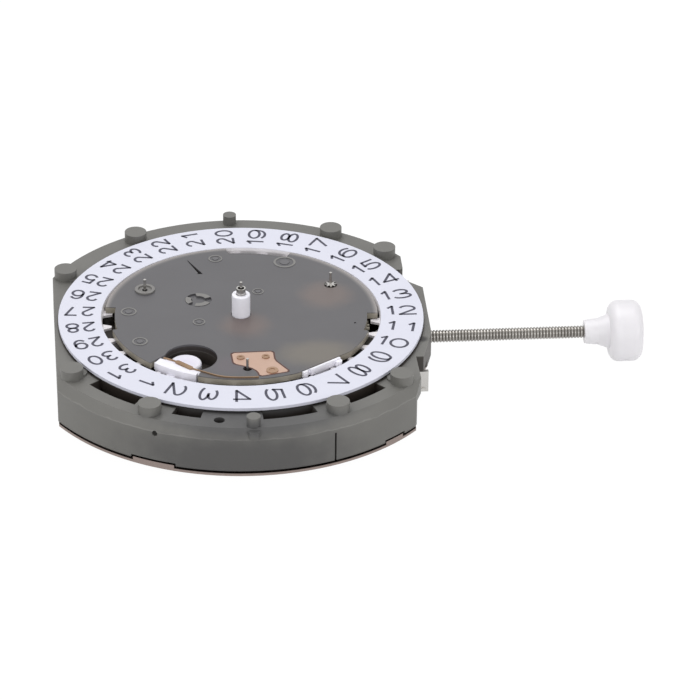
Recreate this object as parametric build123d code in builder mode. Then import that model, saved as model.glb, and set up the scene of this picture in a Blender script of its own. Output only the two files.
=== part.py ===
"""Analogue quartz chronograph movement with a date ring, modelled piece by piece.

Millimetres. The origin is on the axis of the centre hands, in the plane of the back cover.
+Z points at the dial, +X along the winding stem (3 o'clock) and +Y at 12 o'clock.
"""
import os
from math import atan2, cos, degrees, hypot, radians, sin, sqrt

from build123d import *

os.makedirs("parts", exist_ok=True)

# Fits and small clearances
running_fit = 0.03
seat_fit = 0.02
cut_overrun = 0.5

# Outside of the frame
wall_radius = 15.40
deck_inset = 0.40
rim_inset = 0.05
left_flat_inset = 2.20
stem_flat_inset = 2.15
wall_thickness = 1.20
cavity_wall = 1.40
deck_radius = wall_radius - deck_inset
rim_radius = wall_radius - rim_inset
left_flat = wall_radius - left_flat_inset
stem_flat = wall_radius - stem_flat_inset
cavity_radius = wall_radius - cavity_wall

# Heights from the base plane up
cover_thickness = 0.25
cover_rim_height = 0.35
rim_thickness = 0.20
rim_gap = 0.22
board_thickness = 0.16
board_gap = 0.14
bridge_thickness = 0.30
bridge_gap = 0.05
stator_thickness = 0.45
level_gap = 0.10
wheel_thickness = 0.14
web_thickness = 0.30
dial_wheel_thickness = 0.18
dial_level_gap = 0.08
tooth_thickness = 0.18
guard_gap = 0.04
guard_thickness = 0.48
ring_thickness = 0.22
ring_edge_height = 0.41
band_height = 0.70
stud_height = 0.70

rim_z = cover_thickness + cover_rim_height
wall_z = rim_z + rim_thickness + rim_gap
board_z = rim_z + rim_thickness
bridge_z = board_z + board_thickness + board_gap
stator_z = bridge_z + bridge_thickness
level_1_z = stator_z + stator_thickness + level_gap
level_2_z = level_1_z + wheel_thickness + level_gap
level_3_z = level_2_z + wheel_thickness + level_gap
level_4_z = level_3_z + wheel_thickness + level_gap
web_z = level_4_z + wheel_thickness + level_gap
web_top_z = web_z + web_thickness
dial_1_z = web_top_z + guard_gap
dial_2_z = dial_1_z + dial_wheel_thickness + dial_level_gap
dial_3_z = dial_2_z + dial_wheel_thickness + dial_level_gap
tooth_z = dial_3_z + wheel_thickness + seat_fit
guard_z = tooth_z + tooth_thickness + guard_gap
guard_top_z = guard_z + guard_thickness
ring_z = tooth_z + ring_edge_height
ring_top_z = ring_z + ring_thickness
deck_z = ring_z - tooth_thickness
crease_z = deck_z - band_height
stud_top_z = deck_z + stud_height

# Date ring and the guard that holds it down
date_days = 31
ring_inset = 2.45
ring_width = 3.02
flange_width = 2.60
ring_bevel = 0.08
tooth_length = 0.65
ring_outer_radius = wall_radius - ring_inset
ring_inner_radius = ring_outer_radius - ring_width
skirt_outer_radius = ring_outer_radius - flange_width
skirt_inner_radius = ring_inner_radius - ring_bevel
tooth_tip_radius = skirt_inner_radius - tooth_length
tooth_angle = 170.5
tooth_root_share = 0.40
tooth_tip_share = 0.13
pocket_gap = 0.25
seat_inset = 0.25
seat_width = 0.50
guard_overlap = 0.12
guard_cut_depth = 0.37
guard_ring_gap = 0.15
guard_radius = tooth_tip_radius + guard_overlap
guard_wide_radius = skirt_inner_radius - guard_ring_gap
pocket_radius = skirt_outer_radius + pocket_gap
seat_outer_radius = ring_outer_radius - seat_inset
seat_inner_radius = seat_outer_radius - seat_width
guard_cut_radius = guard_radius - guard_cut_depth

# Centre hand stack
arbor_radius = 0.11
centre_tube_wall = 0.07
cannon_wall = 0.10
sleeve_radius = 0.665
sleeve_length_above_guard = 1.65
sleeve_round = 0.12
hour_seat_share = 0.35
cannon_step = 0.46
seconds_step = 0.47
seat_step = 0.01
taper_length = 0.55
small_seconds_rise = 0.80
left_hand_rise = 0.88
right_hand_rise = 1.00
sleeve_top_z = guard_top_z + sleeve_length_above_guard
hour_seat_z = guard_top_z + sleeve_length_above_guard * hour_seat_share
cannon_top_z = sleeve_top_z + cannon_step
seconds_top_z = cannon_top_z + seconds_step
collar_height = 0.13
petal_rise = 0.06
hand_seat_radius = arbor_radius - seat_step
hand_seats = {"chrono": (cannon_top_z, seconds_top_z),
              "time": (guard_top_z, guard_top_z + small_seconds_rise),
              "counter_left": (guard_top_z + collar_height, guard_top_z + left_hand_rise),
              "counter_right": (guard_top_z + petal_rise, guard_top_z + right_hand_rise)}
centre_tube_radius = arbor_radius + running_fit + centre_tube_wall
cannon_bore = centre_tube_radius + running_fit
cannon_radius = cannon_bore + cannon_wall

# Wheels: teeth and module
seconds_teeth = 60
seconds_pinion_teeth = 10
seconds_module = 0.1133
driver_teeth = 40
driver_module = 0.09
rotor_pinion_teeth = 8
small_seconds_module = 0.10
counter_module = 0.08
counter_driver_module = 0.07
third_teeth = 60
third_module = 0.12
centre_teeth = 80
centre_pinion_teeth = 8
centre_module = 0.0886
cannon_teeth = 12
minute_teeth = 36
minute_pinion_teeth = 10
hour_teeth = 40
hour_module = 0.13
day_pinion_teeth = 24
day_teeth = 48
day_module = 0.15
setting_teeth = 14
tooth_depth_share = 1.15
tooth_rise_share = 0.90
tooth_foot_share = 0.30
tooth_top_share = 0.10
rim_share = 0.80
spoke_share = 0.16
hub_radius = 0.36

# Places of the small hands
small_hand_radius = 7.70
counter_left_angle = 150
counter_right_angle = 30
small_seconds_angle = 270

# Battery
battery_radius = 4.75
battery_height = 2.10
battery_room = 0.25
battery_wall_gap = 0.20
battery_offset = cavity_radius - battery_radius - battery_room - battery_wall_gap

# Stepping motors
magnet_radius = 0.55
magnet_height = 0.34
magnet_gap = 0.15
winding_radius = 0.50
winding_length = 4.60
core_length = 6.00
core_width = 0.62
core_height = 0.30
stator_lug_radius = 0.50
stator_pole_radius = 1.00
coil_inset = 1.45
coil_ring_radius = cavity_radius - coil_inset

# Stem, clutch and tip
stem_radius = 0.55
stem_groove_radius = 0.35
stem_pilot_radius = 0.30
stem_square = 0.62
stem_pull = 1.00
thread_radius = 0.45
thread_depth = 0.085
thread_pitch = 0.225
thread_length = 11.35
stem_screw_length = 2.00
tip_length = 4.10
thread_end_x = stem_flat + thread_length
stem_screw_end_x = thread_end_x + stem_screw_length
tip_end_x = thread_end_x + tip_length
tip_radius = 2.20
tip_thickness = 2.35
tip_hub_radius = 0.90
tip_flare_radius = 1.25
clutch_radius = 0.62
clutch_flange_radius = 0.92
clutch_groove_radius = 0.45

# Fasteners
screw_head_radius = 0.80
screw_head_height = 0.20
screw_shank_radius = 0.40
screw_slot_width = 0.22
boss_radius = 0.80


def polar(radius, angle):
    """Point at a radius and an angle in degrees."""
    return (radius * cos(radians(angle)), radius * sin(radians(angle)))


def moved(point, radius, angle):
    """Point a distance away from another, in a direction."""
    step = polar(radius, angle)
    return (point[0] + step[0], point[1] + step[1])


def bearing(start, end):
    """Direction in degrees from one point to another."""
    return degrees(atan2(end[1] - start[1], end[0] - start[0]))


def distance(start, end):
    return hypot(end[0] - start[0], end[1] - start[1])


def gear_points(teeth, module, turn):
    """Outline of straight-flanked teeth, thin enough to run clear of a meshing gear."""
    pitch_radius = teeth * module / 2
    foot_radius = pitch_radius - tooth_depth_share * module
    top_radius = pitch_radius + tooth_rise_share * module
    points = []
    for tooth in range(teeth):
        for share, radius in ((-tooth_foot_share, foot_radius), (-tooth_top_share, top_radius),
                              (tooth_top_share, top_radius), (tooth_foot_share, foot_radius)):
            points.append(polar(radius, turn + 360 * (tooth + share) / teeth))
    return points


def mesh_turn(centre_a, turn_a, teeth_a, centre_b, teeth_b):
    """Turn of gear b that puts a gap where gear a has a tooth."""
    line = bearing(centre_a, centre_b)
    phase = (turn_a - line) * teeth_a / 360 + 0.5
    return line + 180 - 360 * phase / teeth_b


def disc(centre, z, height, outer, inner=0, mode=Mode.ADD):
    """Round slab, with a hole if inner is given."""
    with BuildSketch(Plane.XY.offset(z)) as profile:
        with Locations(centre):
            Circle(outer)
            if inner:
                Circle(inner, mode=Mode.SUBTRACT)
    extrude(profile.sketch, amount=height, mode=mode)


def taper(place, z, height, low_radius, high_radius):
    """Round pin that narrows upwards."""
    with Locations(Plane.XY.offset(z)):
        with Locations(place):
            Cone(low_radius, high_radius, height, align=(Align.CENTER, Align.CENTER, Align.MIN))


def gear(centre, z, height, teeth, module, turn, bore=0):
    """Toothed slab, with a bore if one is given."""
    with BuildSketch(Plane.XY.offset(z)) as profile:
        with Locations(centre):
            Polygon(*gear_points(teeth, module, turn), align=None)
            if bore:
                Circle(bore, mode=Mode.SUBTRACT)
    extrude(profile.sketch, amount=height)


def spoked_gear(centre, z, height, teeth, module, turn, hub, bore=0):
    """Toothed rim on four spokes and a hub."""
    rim_inner = (teeth / 2 - tooth_depth_share) * module * rim_share
    with BuildSketch(Plane.XY.offset(z)) as profile:
        with Locations(centre):
            Polygon(*gear_points(teeth, module, turn), align=None)
            Circle(rim_inner, mode=Mode.SUBTRACT)
            Rectangle(2 * rim_inner + module, rim_inner * spoke_share)
            Rectangle(rim_inner * spoke_share, 2 * rim_inner + module)
            Circle(hub)
            if bore:
                Circle(bore, mode=Mode.SUBTRACT)
    extrude(profile.sketch, amount=height)


def slab(points, z, height, mode=Mode.ADD):
    """Flat piece with a straight-sided outline."""
    with BuildSketch(Plane.XY.offset(z)) as profile:
        Polygon(*points, align=None)
    extrude(profile.sketch, amount=height, mode=mode)


def bar(start, end, width, z, height, mode=Mode.ADD):
    """Flat bar with round ends between two points."""
    with BuildSketch(Plane.XY.offset(z)) as profile:
        with Locations(((start[0] + end[0]) / 2, (start[1] + end[1]) / 2)):
            SlotCenterToCenter(distance(start, end), width, rotation=bearing(start, end))
    extrude(profile.sketch, amount=height, mode=mode)


def sector(centre, inner, outer, angle_a, angle_b, z, height, mode=Mode.ADD):
    """Part of a flat ring between two angles, turning left from the first."""
    middle = (angle_a + angle_b) / 2
    inner_a, inner_m, inner_b = (moved(centre, inner, angle) for angle in (angle_a, middle, angle_b))
    outer_a, outer_m, outer_b = (moved(centre, outer, angle) for angle in (angle_a, middle, angle_b))
    with BuildSketch(Plane.XY.offset(z)) as profile:
        with BuildLine():
            ThreePointArc(inner_a, inner_m, inner_b)
            Line(inner_b, outer_b)
            ThreePointArc(outer_b, outer_m, outer_a)
            Line(outer_a, inner_a)
        make_face()
    extrude(profile.sketch, amount=height, mode=mode)


def scaled(points, size):
    """Points given as shares of a size."""
    return [(x * size, y * size) for x, y in points]


def save(builder, label):
    builder.part.label = label
    export_step(builder.part, "parts/" + label + ".step")


# Places that the gears decide
centre = (0, 0)
counter_left = polar(small_hand_radius, counter_left_angle)
counter_right = polar(small_hand_radius, counter_right_angle)
small_seconds = polar(small_hand_radius, small_seconds_angle)
pinion_teeth = seconds_pinion_teeth


def reach(teeth_a, teeth_b, module):
    """Centre distance of two meshing gears."""
    return (teeth_a + teeth_b) * module / 2


# Each motor turns a driver wheel, whose pinion turns a wheel with a hand on it.
# Angles are the directions from the hand to the driver and from the driver to the rotor.
trains = {
    "chrono": dict(hand=centre, module=seconds_module, driver_module=driver_module,
                   driver_angle=205, rotor_angle=205, coil_angle=205, coil_share=0.82),
    "time": dict(hand=small_seconds, module=small_seconds_module, driver_module=driver_module,
                 driver_angle=-20, rotor_angle=-20, coil_angle=-56, coil_share=1.0),
    "counter_left": dict(hand=counter_left, module=counter_module,
                         driver_module=counter_driver_module,
                         driver_angle=120, rotor_angle=70, coil_angle=124, coil_share=1.0),
    "counter_right": dict(hand=counter_right, module=counter_module,
                          driver_module=counter_driver_module,
                          driver_angle=60, rotor_angle=110, coil_angle=56, coil_share=1.0),
}
for train in trains.values():
    train["driver"] = moved(train["hand"], reach(seconds_teeth, pinion_teeth, train["module"]),
                            train["driver_angle"])
    train["rotor"] = moved(train["driver"],
                           reach(driver_teeth, rotor_pinion_teeth, train["driver_module"]),
                           train["rotor_angle"])
    train["coil"] = polar(coil_ring_radius * train["coil_share"], train["coil_angle"])

# The third wheel sits where its two centre distances meet
third_to_seconds = reach(third_teeth, pinion_teeth, third_module)
third_to_centre = reach(centre_teeth, centre_pinion_teeth, centre_module)
third_y = -(third_to_centre ** 2 - third_to_seconds ** 2 + small_hand_radius ** 2) / (2 * small_hand_radius)
third = (sqrt(third_to_centre ** 2 - third_y ** 2), third_y)

# Motion work under the guard
hour_to_minute = reach(hour_teeth, minute_pinion_teeth, hour_module)
minute_module = 2 * hour_to_minute / (cannon_teeth + minute_teeth)
minute_angle = -35
minute = polar(hour_to_minute, minute_angle)
setting_to_minute = reach(setting_teeth, minute_teeth, minute_module)
setting = (minute[0] + sqrt(setting_to_minute ** 2 - minute[1] ** 2), 0)
day_angle = -8
day = polar(reach(day_pinion_teeth, day_teeth, day_module), day_angle)
day_finger_angle = day_angle + 135
day_finger_reach = tooth_tip_radius + 0.25 * (skirt_inner_radius - tooth_tip_radius) - distance(centre, day)

# Stem stations along X
stem_rise = 1.20
groove_width = 0.40
collar_width = 0.45
square_length = 2.60
pilot_length = 1.50
journal_spare = 0.10
clutch_start_gap = 0.20
clutch_end_gap = 0.25
stem_z = bridge_z + stem_rise
stem_block_x = stem_flat - wall_thickness
journal_x = stem_block_x - stem_pull - journal_spare
groove_x = journal_x - groove_width
collar_x = groove_x - collar_width
square_x = collar_x - square_length
pilot_x = square_x - pilot_length
clutch_start_x = square_x + clutch_start_gap
clutch_end_x = collar_x - clutch_end_gap
stem_axis = Axis((0, 0, stem_z), (1, 0, 0))
stem_plane = Plane(origin=(0, 0, stem_z), x_dir=(1, 0, 0), z_dir=(0, -1, 0))

# Stem side of the frame, seen from above: shares of the wall's radius. The deck reaches
# further out than the wall below it, and the reset lever's tab stands in between.
back_side_shares = [(2, 2), (0.789, 2), (0.789, 0.446), (0.773, 0.429), (0.740, 0.429),
                    (0.740, 0.318), (0.797, 0.318), (0.866, 0.253)]
deck_side_shares = [(0.865, -0.172), (0.8085, -0.386), (0.774, -0.386), (0.779, -0.578),
                    (0.750, -0.662), (0.750, -2), (2, -2)]
lip_side_shares = [(0.865, -0.172), (0.841, -0.273), (0.786, -0.318), (0.7565, -0.318),
                   (0.7565, -2), (2, -2)]
low_side_shares = [(0.865, -0.078), (0.818, -0.195), (0.786, -0.318), (0.7565, -0.318),
                   (0.7565, -2), (2, -2)]
recess_floor = 0.740 * wall_radius
back_recess_y = (0.318 * wall_radius, 0.429 * wall_radius)
reset_tab_y = -0.374 * wall_radius
low_side_z = stem_z
far_side = 2 * wall_radius


def cut_sides(shares, z, height, inset=0):
    """Cut the left flat and the stem side out of a round piece."""
    slab([(-left_flat + inset, far_side), (-left_flat + inset, -far_side),
          (-far_side, -far_side), (-far_side, far_side)], z, height, Mode.SUBTRACT)
    outline = scaled(back_side_shares + shares, wall_radius)
    slab([outline[0]] + [(x - inset, y) for x, y in outline[1:-1]] + [outline[-1]],
         z, height, Mode.SUBTRACT)


# Frame: places of its posts, studs, windows and screws
big_stud_radius = 0.80
big_stud_inset = 0.88
big_stud_angles = (150.3, 119.8, 58.8, 38.9, -41.3, -65.3, -119.7, -149.5)
small_stud_radius = 0.48
small_stud_inset = 0.52
stud_pad_height = 0.14
stud_pad_width = 1.10
rib_width = 0.90
rib_depth = 0.10
window_gap = 0.08
window_width = 1.04
window_depth = 0.90
window_angles = ((-142.7, -125.3), (-113.5, -104.9), (-87.0, -71.0), (-60.2, -47.0))
big_stud_circle = deck_radius - big_stud_inset
small_stud_circle = deck_radius - small_stud_inset
window_inner_radius = seat_outer_radius + window_gap
window_outer_radius = window_inner_radius + window_width
locating_hole_radius = 0.38
locating_hole_shares = (-0.149, -0.891)
slit_angle = -68.5
slit_width = 0.14
slit_depth = 0.60
dimple_angle = -115.9
dimple_radius = 0.20
dimple_depth = 0.35
dimple_drop = 0.12
foot_notch_height = 0.22
foot_notch_angles = ((-122.8, -110.3), (-53.1, -46.0))
cavity_flat = stem_block_x
pivot_hole = arbor_radius + running_fit
post_radius = 0.20
deck_chamfer = 0.12

# Heat stakes that hold the guard: share of its radius, angle, and radius of the head as a share
stake_shares = ((0.892, 99.6, 0.054), (0.879, 64.0, 0.086), (0.856, 174.3, 0.061),
                (0.868, -154.5, 0.059), (0.342, -162.0, 0.048), (0.370, 66.1, 0.045))
stakes = [(reach_share * guard_radius, angle, head_share * guard_radius)
          for reach_share, angle, head_share in stake_shares]
stake_post_share = 0.55
stake_pin_share = 0.42
stake_ring_share = 0.80
stake_head_height = 0.03

# Cover screws and bridge posts as shares of the wall's radius
cover_screws = scaled([(-0.714, 0.195), (0.708, 0.195), (-0.409, -0.695), (0.175, -0.812)],
                      wall_radius)
bridge_posts = scaled([(0.403, -0.338), (-0.305, -0.396), (-0.558, 0.026)], wall_radius)
bridge_post_radius = 0.50
bridge_screw_radius = 0.25
bridge_screw_head = 0.55
bridge_screw_depth = 0.80
pilot_block_length = 1.45
pilot_block_width = 1.60

# Opening for the date jumper, and where the jumper and the corrector turn
jumper_hole = (-0.413 * guard_radius, -0.638 * guard_radius)
jumper_hole_radius = 1.85
well_wall = 0.35
well_angles = (-35, 150)
jumper_centre = (-0.451 * guard_radius, -0.617 * guard_radius)
jumper_post_radius = 0.30
jumper_post_share = 0.70
chord_angle = -54.7
chord_inset = 0.40
corrector_back_inset = 1.02
corrector_front_inset = 0.30
chord_reach = guard_radius - chord_inset
corrector_back_reach = guard_radius - corrector_back_inset
corrector_front_reach = guard_radius - corrector_front_inset
corrector_pivot_along = -1.10
corrector_pivot_radius = 0.22


def beside_chord(reach_out, along):
    """Place beside the straight edge of the guard: how far out, and how far along it."""
    return moved(polar(reach_out, chord_angle), along, chord_angle + 90)


corrector_pivot = beside_chord((corrector_back_reach + corrector_front_reach) / 2,
                               corrector_pivot_along)

# Levers of the keyless works and of the pushers: where they turn
lever_thickness = 0.16
lever_width = 0.55
lever_hub_radius = 0.60
lever_post_radius = 0.25
lever_reach = 3.00
push_reach = 2.45
push_pivot_inset = 0.70
push_pivot_x = recess_floor - push_pivot_inset
pin_radius = 0.15
tab_window = 1.30
tab_clearance = 0.10
clutch_end_width = 0.25
setting_lever_z = bridge_z + bridge_thickness - seat_fit
push_lever_z = stator_z + seat_fit
groove_middle_x = groove_x + groove_width / 2
setting_lever_pivot = (groove_middle_x + stem_pull / 2, -lever_reach)
yoke_pivot = (clutch_end_x - clutch_end_width - lever_thickness - pin_radius,
              -lever_reach - lever_hub_radius / 2)
start_pivot = (push_pivot_x, sum(back_recess_y) / 2 + push_reach)
inner_wall_x = recess_floor - tab_clearance
inner_wall_y = (reset_tab_y - 2 * tab_window, reset_tab_y + tab_window)
tab_z = push_lever_z - lever_thickness
reset_pivot = (push_pivot_x, reset_tab_y - push_reach)

with BuildPart() as main_frame:
    with BuildSketch(Plane.XZ):
        with BuildLine():
            Polyline((0, wall_z), (wall_radius, wall_z), (wall_radius, crease_z),
                     (deck_radius, deck_z - deck_chamfer), (deck_radius - deck_chamfer, deck_z),
                     (0, deck_z), close=True)
        make_face()
    revolve(axis=Axis.Z)
    disc(centre, web_top_z, guard_top_z, pocket_radius, mode=Mode.SUBTRACT)
    # Room for the movement's works under the web
    with BuildSketch(Plane.XY.offset(wall_z)):
        Circle(cavity_radius)
        Rectangle(2 * cavity_flat, 2 * wall_radius, mode=Mode.INTERSECT)
    extrude(amount=web_z - wall_z, mode=Mode.SUBTRACT)
    # Inner wall behind the reset lever's tab, with a window for the lever, then the outside
    slab([(inner_wall_x, inner_wall_y[1]), (cavity_flat, inner_wall_y[1]),
          (cavity_flat, inner_wall_y[0]), (inner_wall_x, inner_wall_y[0])], wall_z, web_z - wall_z)
    cut_sides(deck_side_shares, wall_z - cut_overrun, guard_top_z)
    cut_sides(lip_side_shares, wall_z - cut_overrun, cut_overrun + web_z - wall_z)
    cut_sides(low_side_shares, wall_z - cut_overrun, cut_overrun + low_side_z - wall_z)
    slab([(push_pivot_x, reset_tab_y + tab_window / 2), (stem_flat, reset_tab_y + tab_window / 2),
          (stem_flat, reset_tab_y - tab_window / 2), (push_pivot_x, reset_tab_y - tab_window / 2)],
         tab_z - running_fit, web_z - tab_z + running_fit, Mode.SUBTRACT)
    # Seat of the date ring, and the windows beyond it
    disc(centre, deck_z, ring_z - deck_z, seat_outer_radius, seat_inner_radius)
    for start, end in window_angles:
        sector(centre, window_inner_radius, window_outer_radius, start, end,
               deck_z - window_depth, guard_top_z, Mode.SUBTRACT)
    # Studs that the dial rests on, each with a low pad towards the ring
    for angle in big_stud_angles:
        foot = polar(big_stud_circle, angle)
        disc(foot, deck_z, stud_height, big_stud_radius)
        bar(foot, polar(ring_outer_radius + stud_pad_width / 2 + running_fit, angle),
            stud_pad_width, deck_z, stud_pad_height)
    for side in (1, -1):
        foot = (0, side * small_stud_circle)
        disc(foot, deck_z, stud_height, small_stud_radius)
        bar(foot, (0, side * (wall_radius - rib_width / 2 + rib_depth)), rib_width,
            crease_z, band_height - deck_chamfer)
    with Locations((*[share * wall_radius for share in locating_hole_shares], deck_z)):
        Hole(locating_hole_radius, depth=window_depth)
    # Marks on the wall: a slit, a dimple and the notches at the foot
    bar(polar(wall_radius - slit_depth, slit_angle), polar(far_side, slit_angle), slit_width,
        wall_z - cut_overrun, crease_z - wall_z + cut_overrun / 2, Mode.SUBTRACT)
    with BuildSketch(Plane(origin=(*polar(wall_radius - dimple_depth, dimple_angle),
                                   crease_z - dimple_drop),
                           z_dir=(*polar(1, dimple_angle), 0))):
        Circle(dimple_radius)
    extrude(amount=2 * dimple_depth, mode=Mode.SUBTRACT)
    for start, end in foot_notch_angles:
        sector(centre, cavity_radius - cut_overrun, far_side, start, end,
               wall_z - cut_overrun, cut_overrun + foot_notch_height, Mode.SUBTRACT)
    # Posts for the guard, the motion work and the bridge
    for radius, angle, head in stakes:
        place = polar(radius, angle)
        disc(place, web_top_z, guard_z - web_top_z, head * stake_post_share)
        disc(place, guard_z, guard_thickness + stake_head_height, head * stake_pin_share)
    disc(minute, web_top_z, dial_3_z - web_top_z - dial_level_gap / 2, post_radius)
    disc(setting, web_top_z, dial_2_z - web_top_z - dial_level_gap / 2, post_radius)
    for place, radius in ((jumper_centre, jumper_post_radius),
                          (corrector_pivot, corrector_pivot_radius)):
        disc(place, web_top_z, (guard_z - web_top_z) * jumper_post_share, radius)
    for pivot, foot_z in ((setting_lever_pivot, setting_lever_z), (yoke_pivot, level_2_z),
                          (start_pivot, push_lever_z), (reset_pivot, push_lever_z)):
        disc(pivot, foot_z, web_z - foot_z, lever_post_radius)
    sector(jumper_hole, jumper_hole_radius, jumper_hole_radius + well_wall, *well_angles,
           web_top_z, guard_z - web_top_z)
    for place in bridge_posts:
        disc(place, bridge_z + bridge_thickness, web_z - bridge_z - bridge_thickness,
             bridge_post_radius)
        with Locations(Plane.XY.offset(bridge_z)):
            with Locations(place):
                Cylinder(bridge_screw_radius + seat_fit, bridge_thickness + bridge_screw_depth,
                         align=(Align.CENTER, Align.CENTER, Align.MIN), mode=Mode.SUBTRACT)
    for place in cover_screws:
        disc(place, rim_z + rim_thickness, web_z - rim_z - rim_thickness, boss_radius)
        disc(place, rim_z, stator_z + stator_thickness - rim_z, screw_shank_radius + seat_fit,
             mode=Mode.SUBTRACT)
    # Block that the inner end of the stem turns in, and the journal through the wall
    with BuildSketch(Plane.YZ.offset(pilot_x - seat_fit)):
        with Locations((0, stem_z)):
            Rectangle(pilot_block_width, 2 * (web_z - stem_z))
    extrude(amount=pilot_block_length)
    with BuildSketch(Plane.YZ.offset(pilot_x - cut_overrun)):
        with Locations((0, stem_z)):
            Circle(stem_pilot_radius + running_fit)
    extrude(amount=pilot_block_length + 2 * cut_overrun, mode=Mode.SUBTRACT)
    with BuildSketch(Plane.YZ.offset(stem_block_x - cut_overrun)):
        with Locations((0, stem_z)):
            Circle(stem_radius + running_fit)
    extrude(amount=wall_thickness + 2 * cut_overrun, mode=Mode.SUBTRACT)
    # Window in the web above the clutch wheel
    slab([(square_x, -clutch_radius * 2), (clutch_end_x, -clutch_radius * 2),
          (clutch_end_x, clutch_radius * 2), (square_x, clutch_radius * 2)],
         web_z - cut_overrun, web_thickness + 2 * cut_overrun, Mode.SUBTRACT)
    # Pivot holes in the web
    pivots = [train[key] for train in trains.values() for key in ("driver", "rotor")]
    for place in [*pivots, third]:
        disc(place, web_z - cut_overrun, cut_overrun + web_thickness * 2 / 3, pivot_hole,
             mode=Mode.SUBTRACT)
    for place in (counter_left, counter_right, small_seconds):
        disc(place, web_z - cut_overrun, 2 * cut_overrun + web_thickness, pivot_hole,
             mode=Mode.SUBTRACT)
    disc(centre, web_z - cut_overrun, 2 * cut_overrun + web_thickness,
         centre_tube_radius + running_fit, mode=Mode.SUBTRACT)
save(main_frame, "main_frame")

# Date ring: a thin printed flange, a skirt below it and teeth that point inwards
with BuildPart() as date_ring:
    with BuildSketch(Plane.XZ):
        with BuildLine():
            Polyline((skirt_inner_radius, tooth_z), (skirt_outer_radius, tooth_z),
                     (skirt_outer_radius, ring_z), (ring_outer_radius, ring_z),
                     (ring_outer_radius, ring_top_z), (ring_inner_radius, ring_top_z),
                     (skirt_inner_radius, ring_z), close=True)
        make_face()
    revolve(axis=Axis.Z)
    tooth_pitch = 360 / date_days
    root_overlap = skirt_inner_radius + (skirt_outer_radius - skirt_inner_radius) / 2
    with BuildSketch(Plane.XY.offset(tooth_z)):
        for tooth in range(date_days):
            middle = tooth_angle + tooth * tooth_pitch
            root = tooth_pitch * tooth_root_share / 2
            tip = tooth_pitch * tooth_tip_share / 2
            Polygon(polar(root_overlap, middle - root), polar(skirt_inner_radius, middle - root),
                    polar(tooth_tip_radius, middle - tip), polar(tooth_tip_radius, middle + tip),
                    polar(skirt_inner_radius, middle + root), polar(root_overlap, middle + root),
                    align=None)
    extrude(amount=tooth_thickness)
save(date_ring, "date_ring")

# Guard: the grey plate over the motion work
guard_fillet = 0.07
guard_right_cut = (-18.5, -2.5)
guard_left_cut = (170.5, 190.5)
guard_back_cut = (65.0, 93.0)
guard_wide_arcs = ((guard_right_cut[1], guard_back_cut[0]), (guard_back_cut[1], guard_left_cut[0]))
guard_front_arc = (-112.4, -66.0)
guard_front_inset = 0.16
guard_front_radius = guard_radius - guard_front_inset
jumper_gap_angles = (-136.0, -112.4)
jumper_gap_radius = distance(centre, jumper_hole)
chord_half_share = 0.30
sleeve_hole_radius = sleeve_radius + 2 * seat_fit
collar_radius = 0.72
collar_recess_radius = 0.50
collar_recess_depth = 0.10
collar_hole_radius = 0.20
bush_hole_radius = 0.47
petal_radius = 0.43
petal_depth_share = 0.60
front_hole_radius = 0.32
dial_dimple_angle = 142.9
dial_dimple_reach_share = 0.393
dial_dimple_radius = 0.95
dial_dimple_depth = 0.12
dial_dimple_shares = (0.55, 0.98)
dial_dimple_arcs = ((20, 100), (150, 215), (250, 330))
slot_back_share = 0.939
slot_front_share = 0.714
slot_angle = 113.0
slot_width = 0.25
slot_tip_width = 0.06
slot_depth = 0.30
slot_foot_angles = (80, 200, 320)
contact_thickness = 0.12
contact_gap = 0.06
contact_corner = 0.15
contact_outline = scaled([(-0.109, -0.587), (0.208, -0.580), (0.210, -0.712), (0.313, -0.888),
                          (0.084, -0.944), (0.076, -0.872), (0.022, -0.812), (-0.100, -0.748)],
                         guard_radius)
rivet_shank_share = 0.60
rivet_dish_share = 0.50
contact_rivets_places = [(x * guard_radius, y * guard_radius, share * guard_radius) for x, y, share in
                         ((-0.042, -0.661, 0.030), (0.146, -0.659, 0.030), (0.182, -0.864, 0.045))]
day_post_radius = 0.30
tiny_hole_share = 0.876
tiny_hole_angle = -12.4
tiny_hole_radius = 0.09

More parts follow.
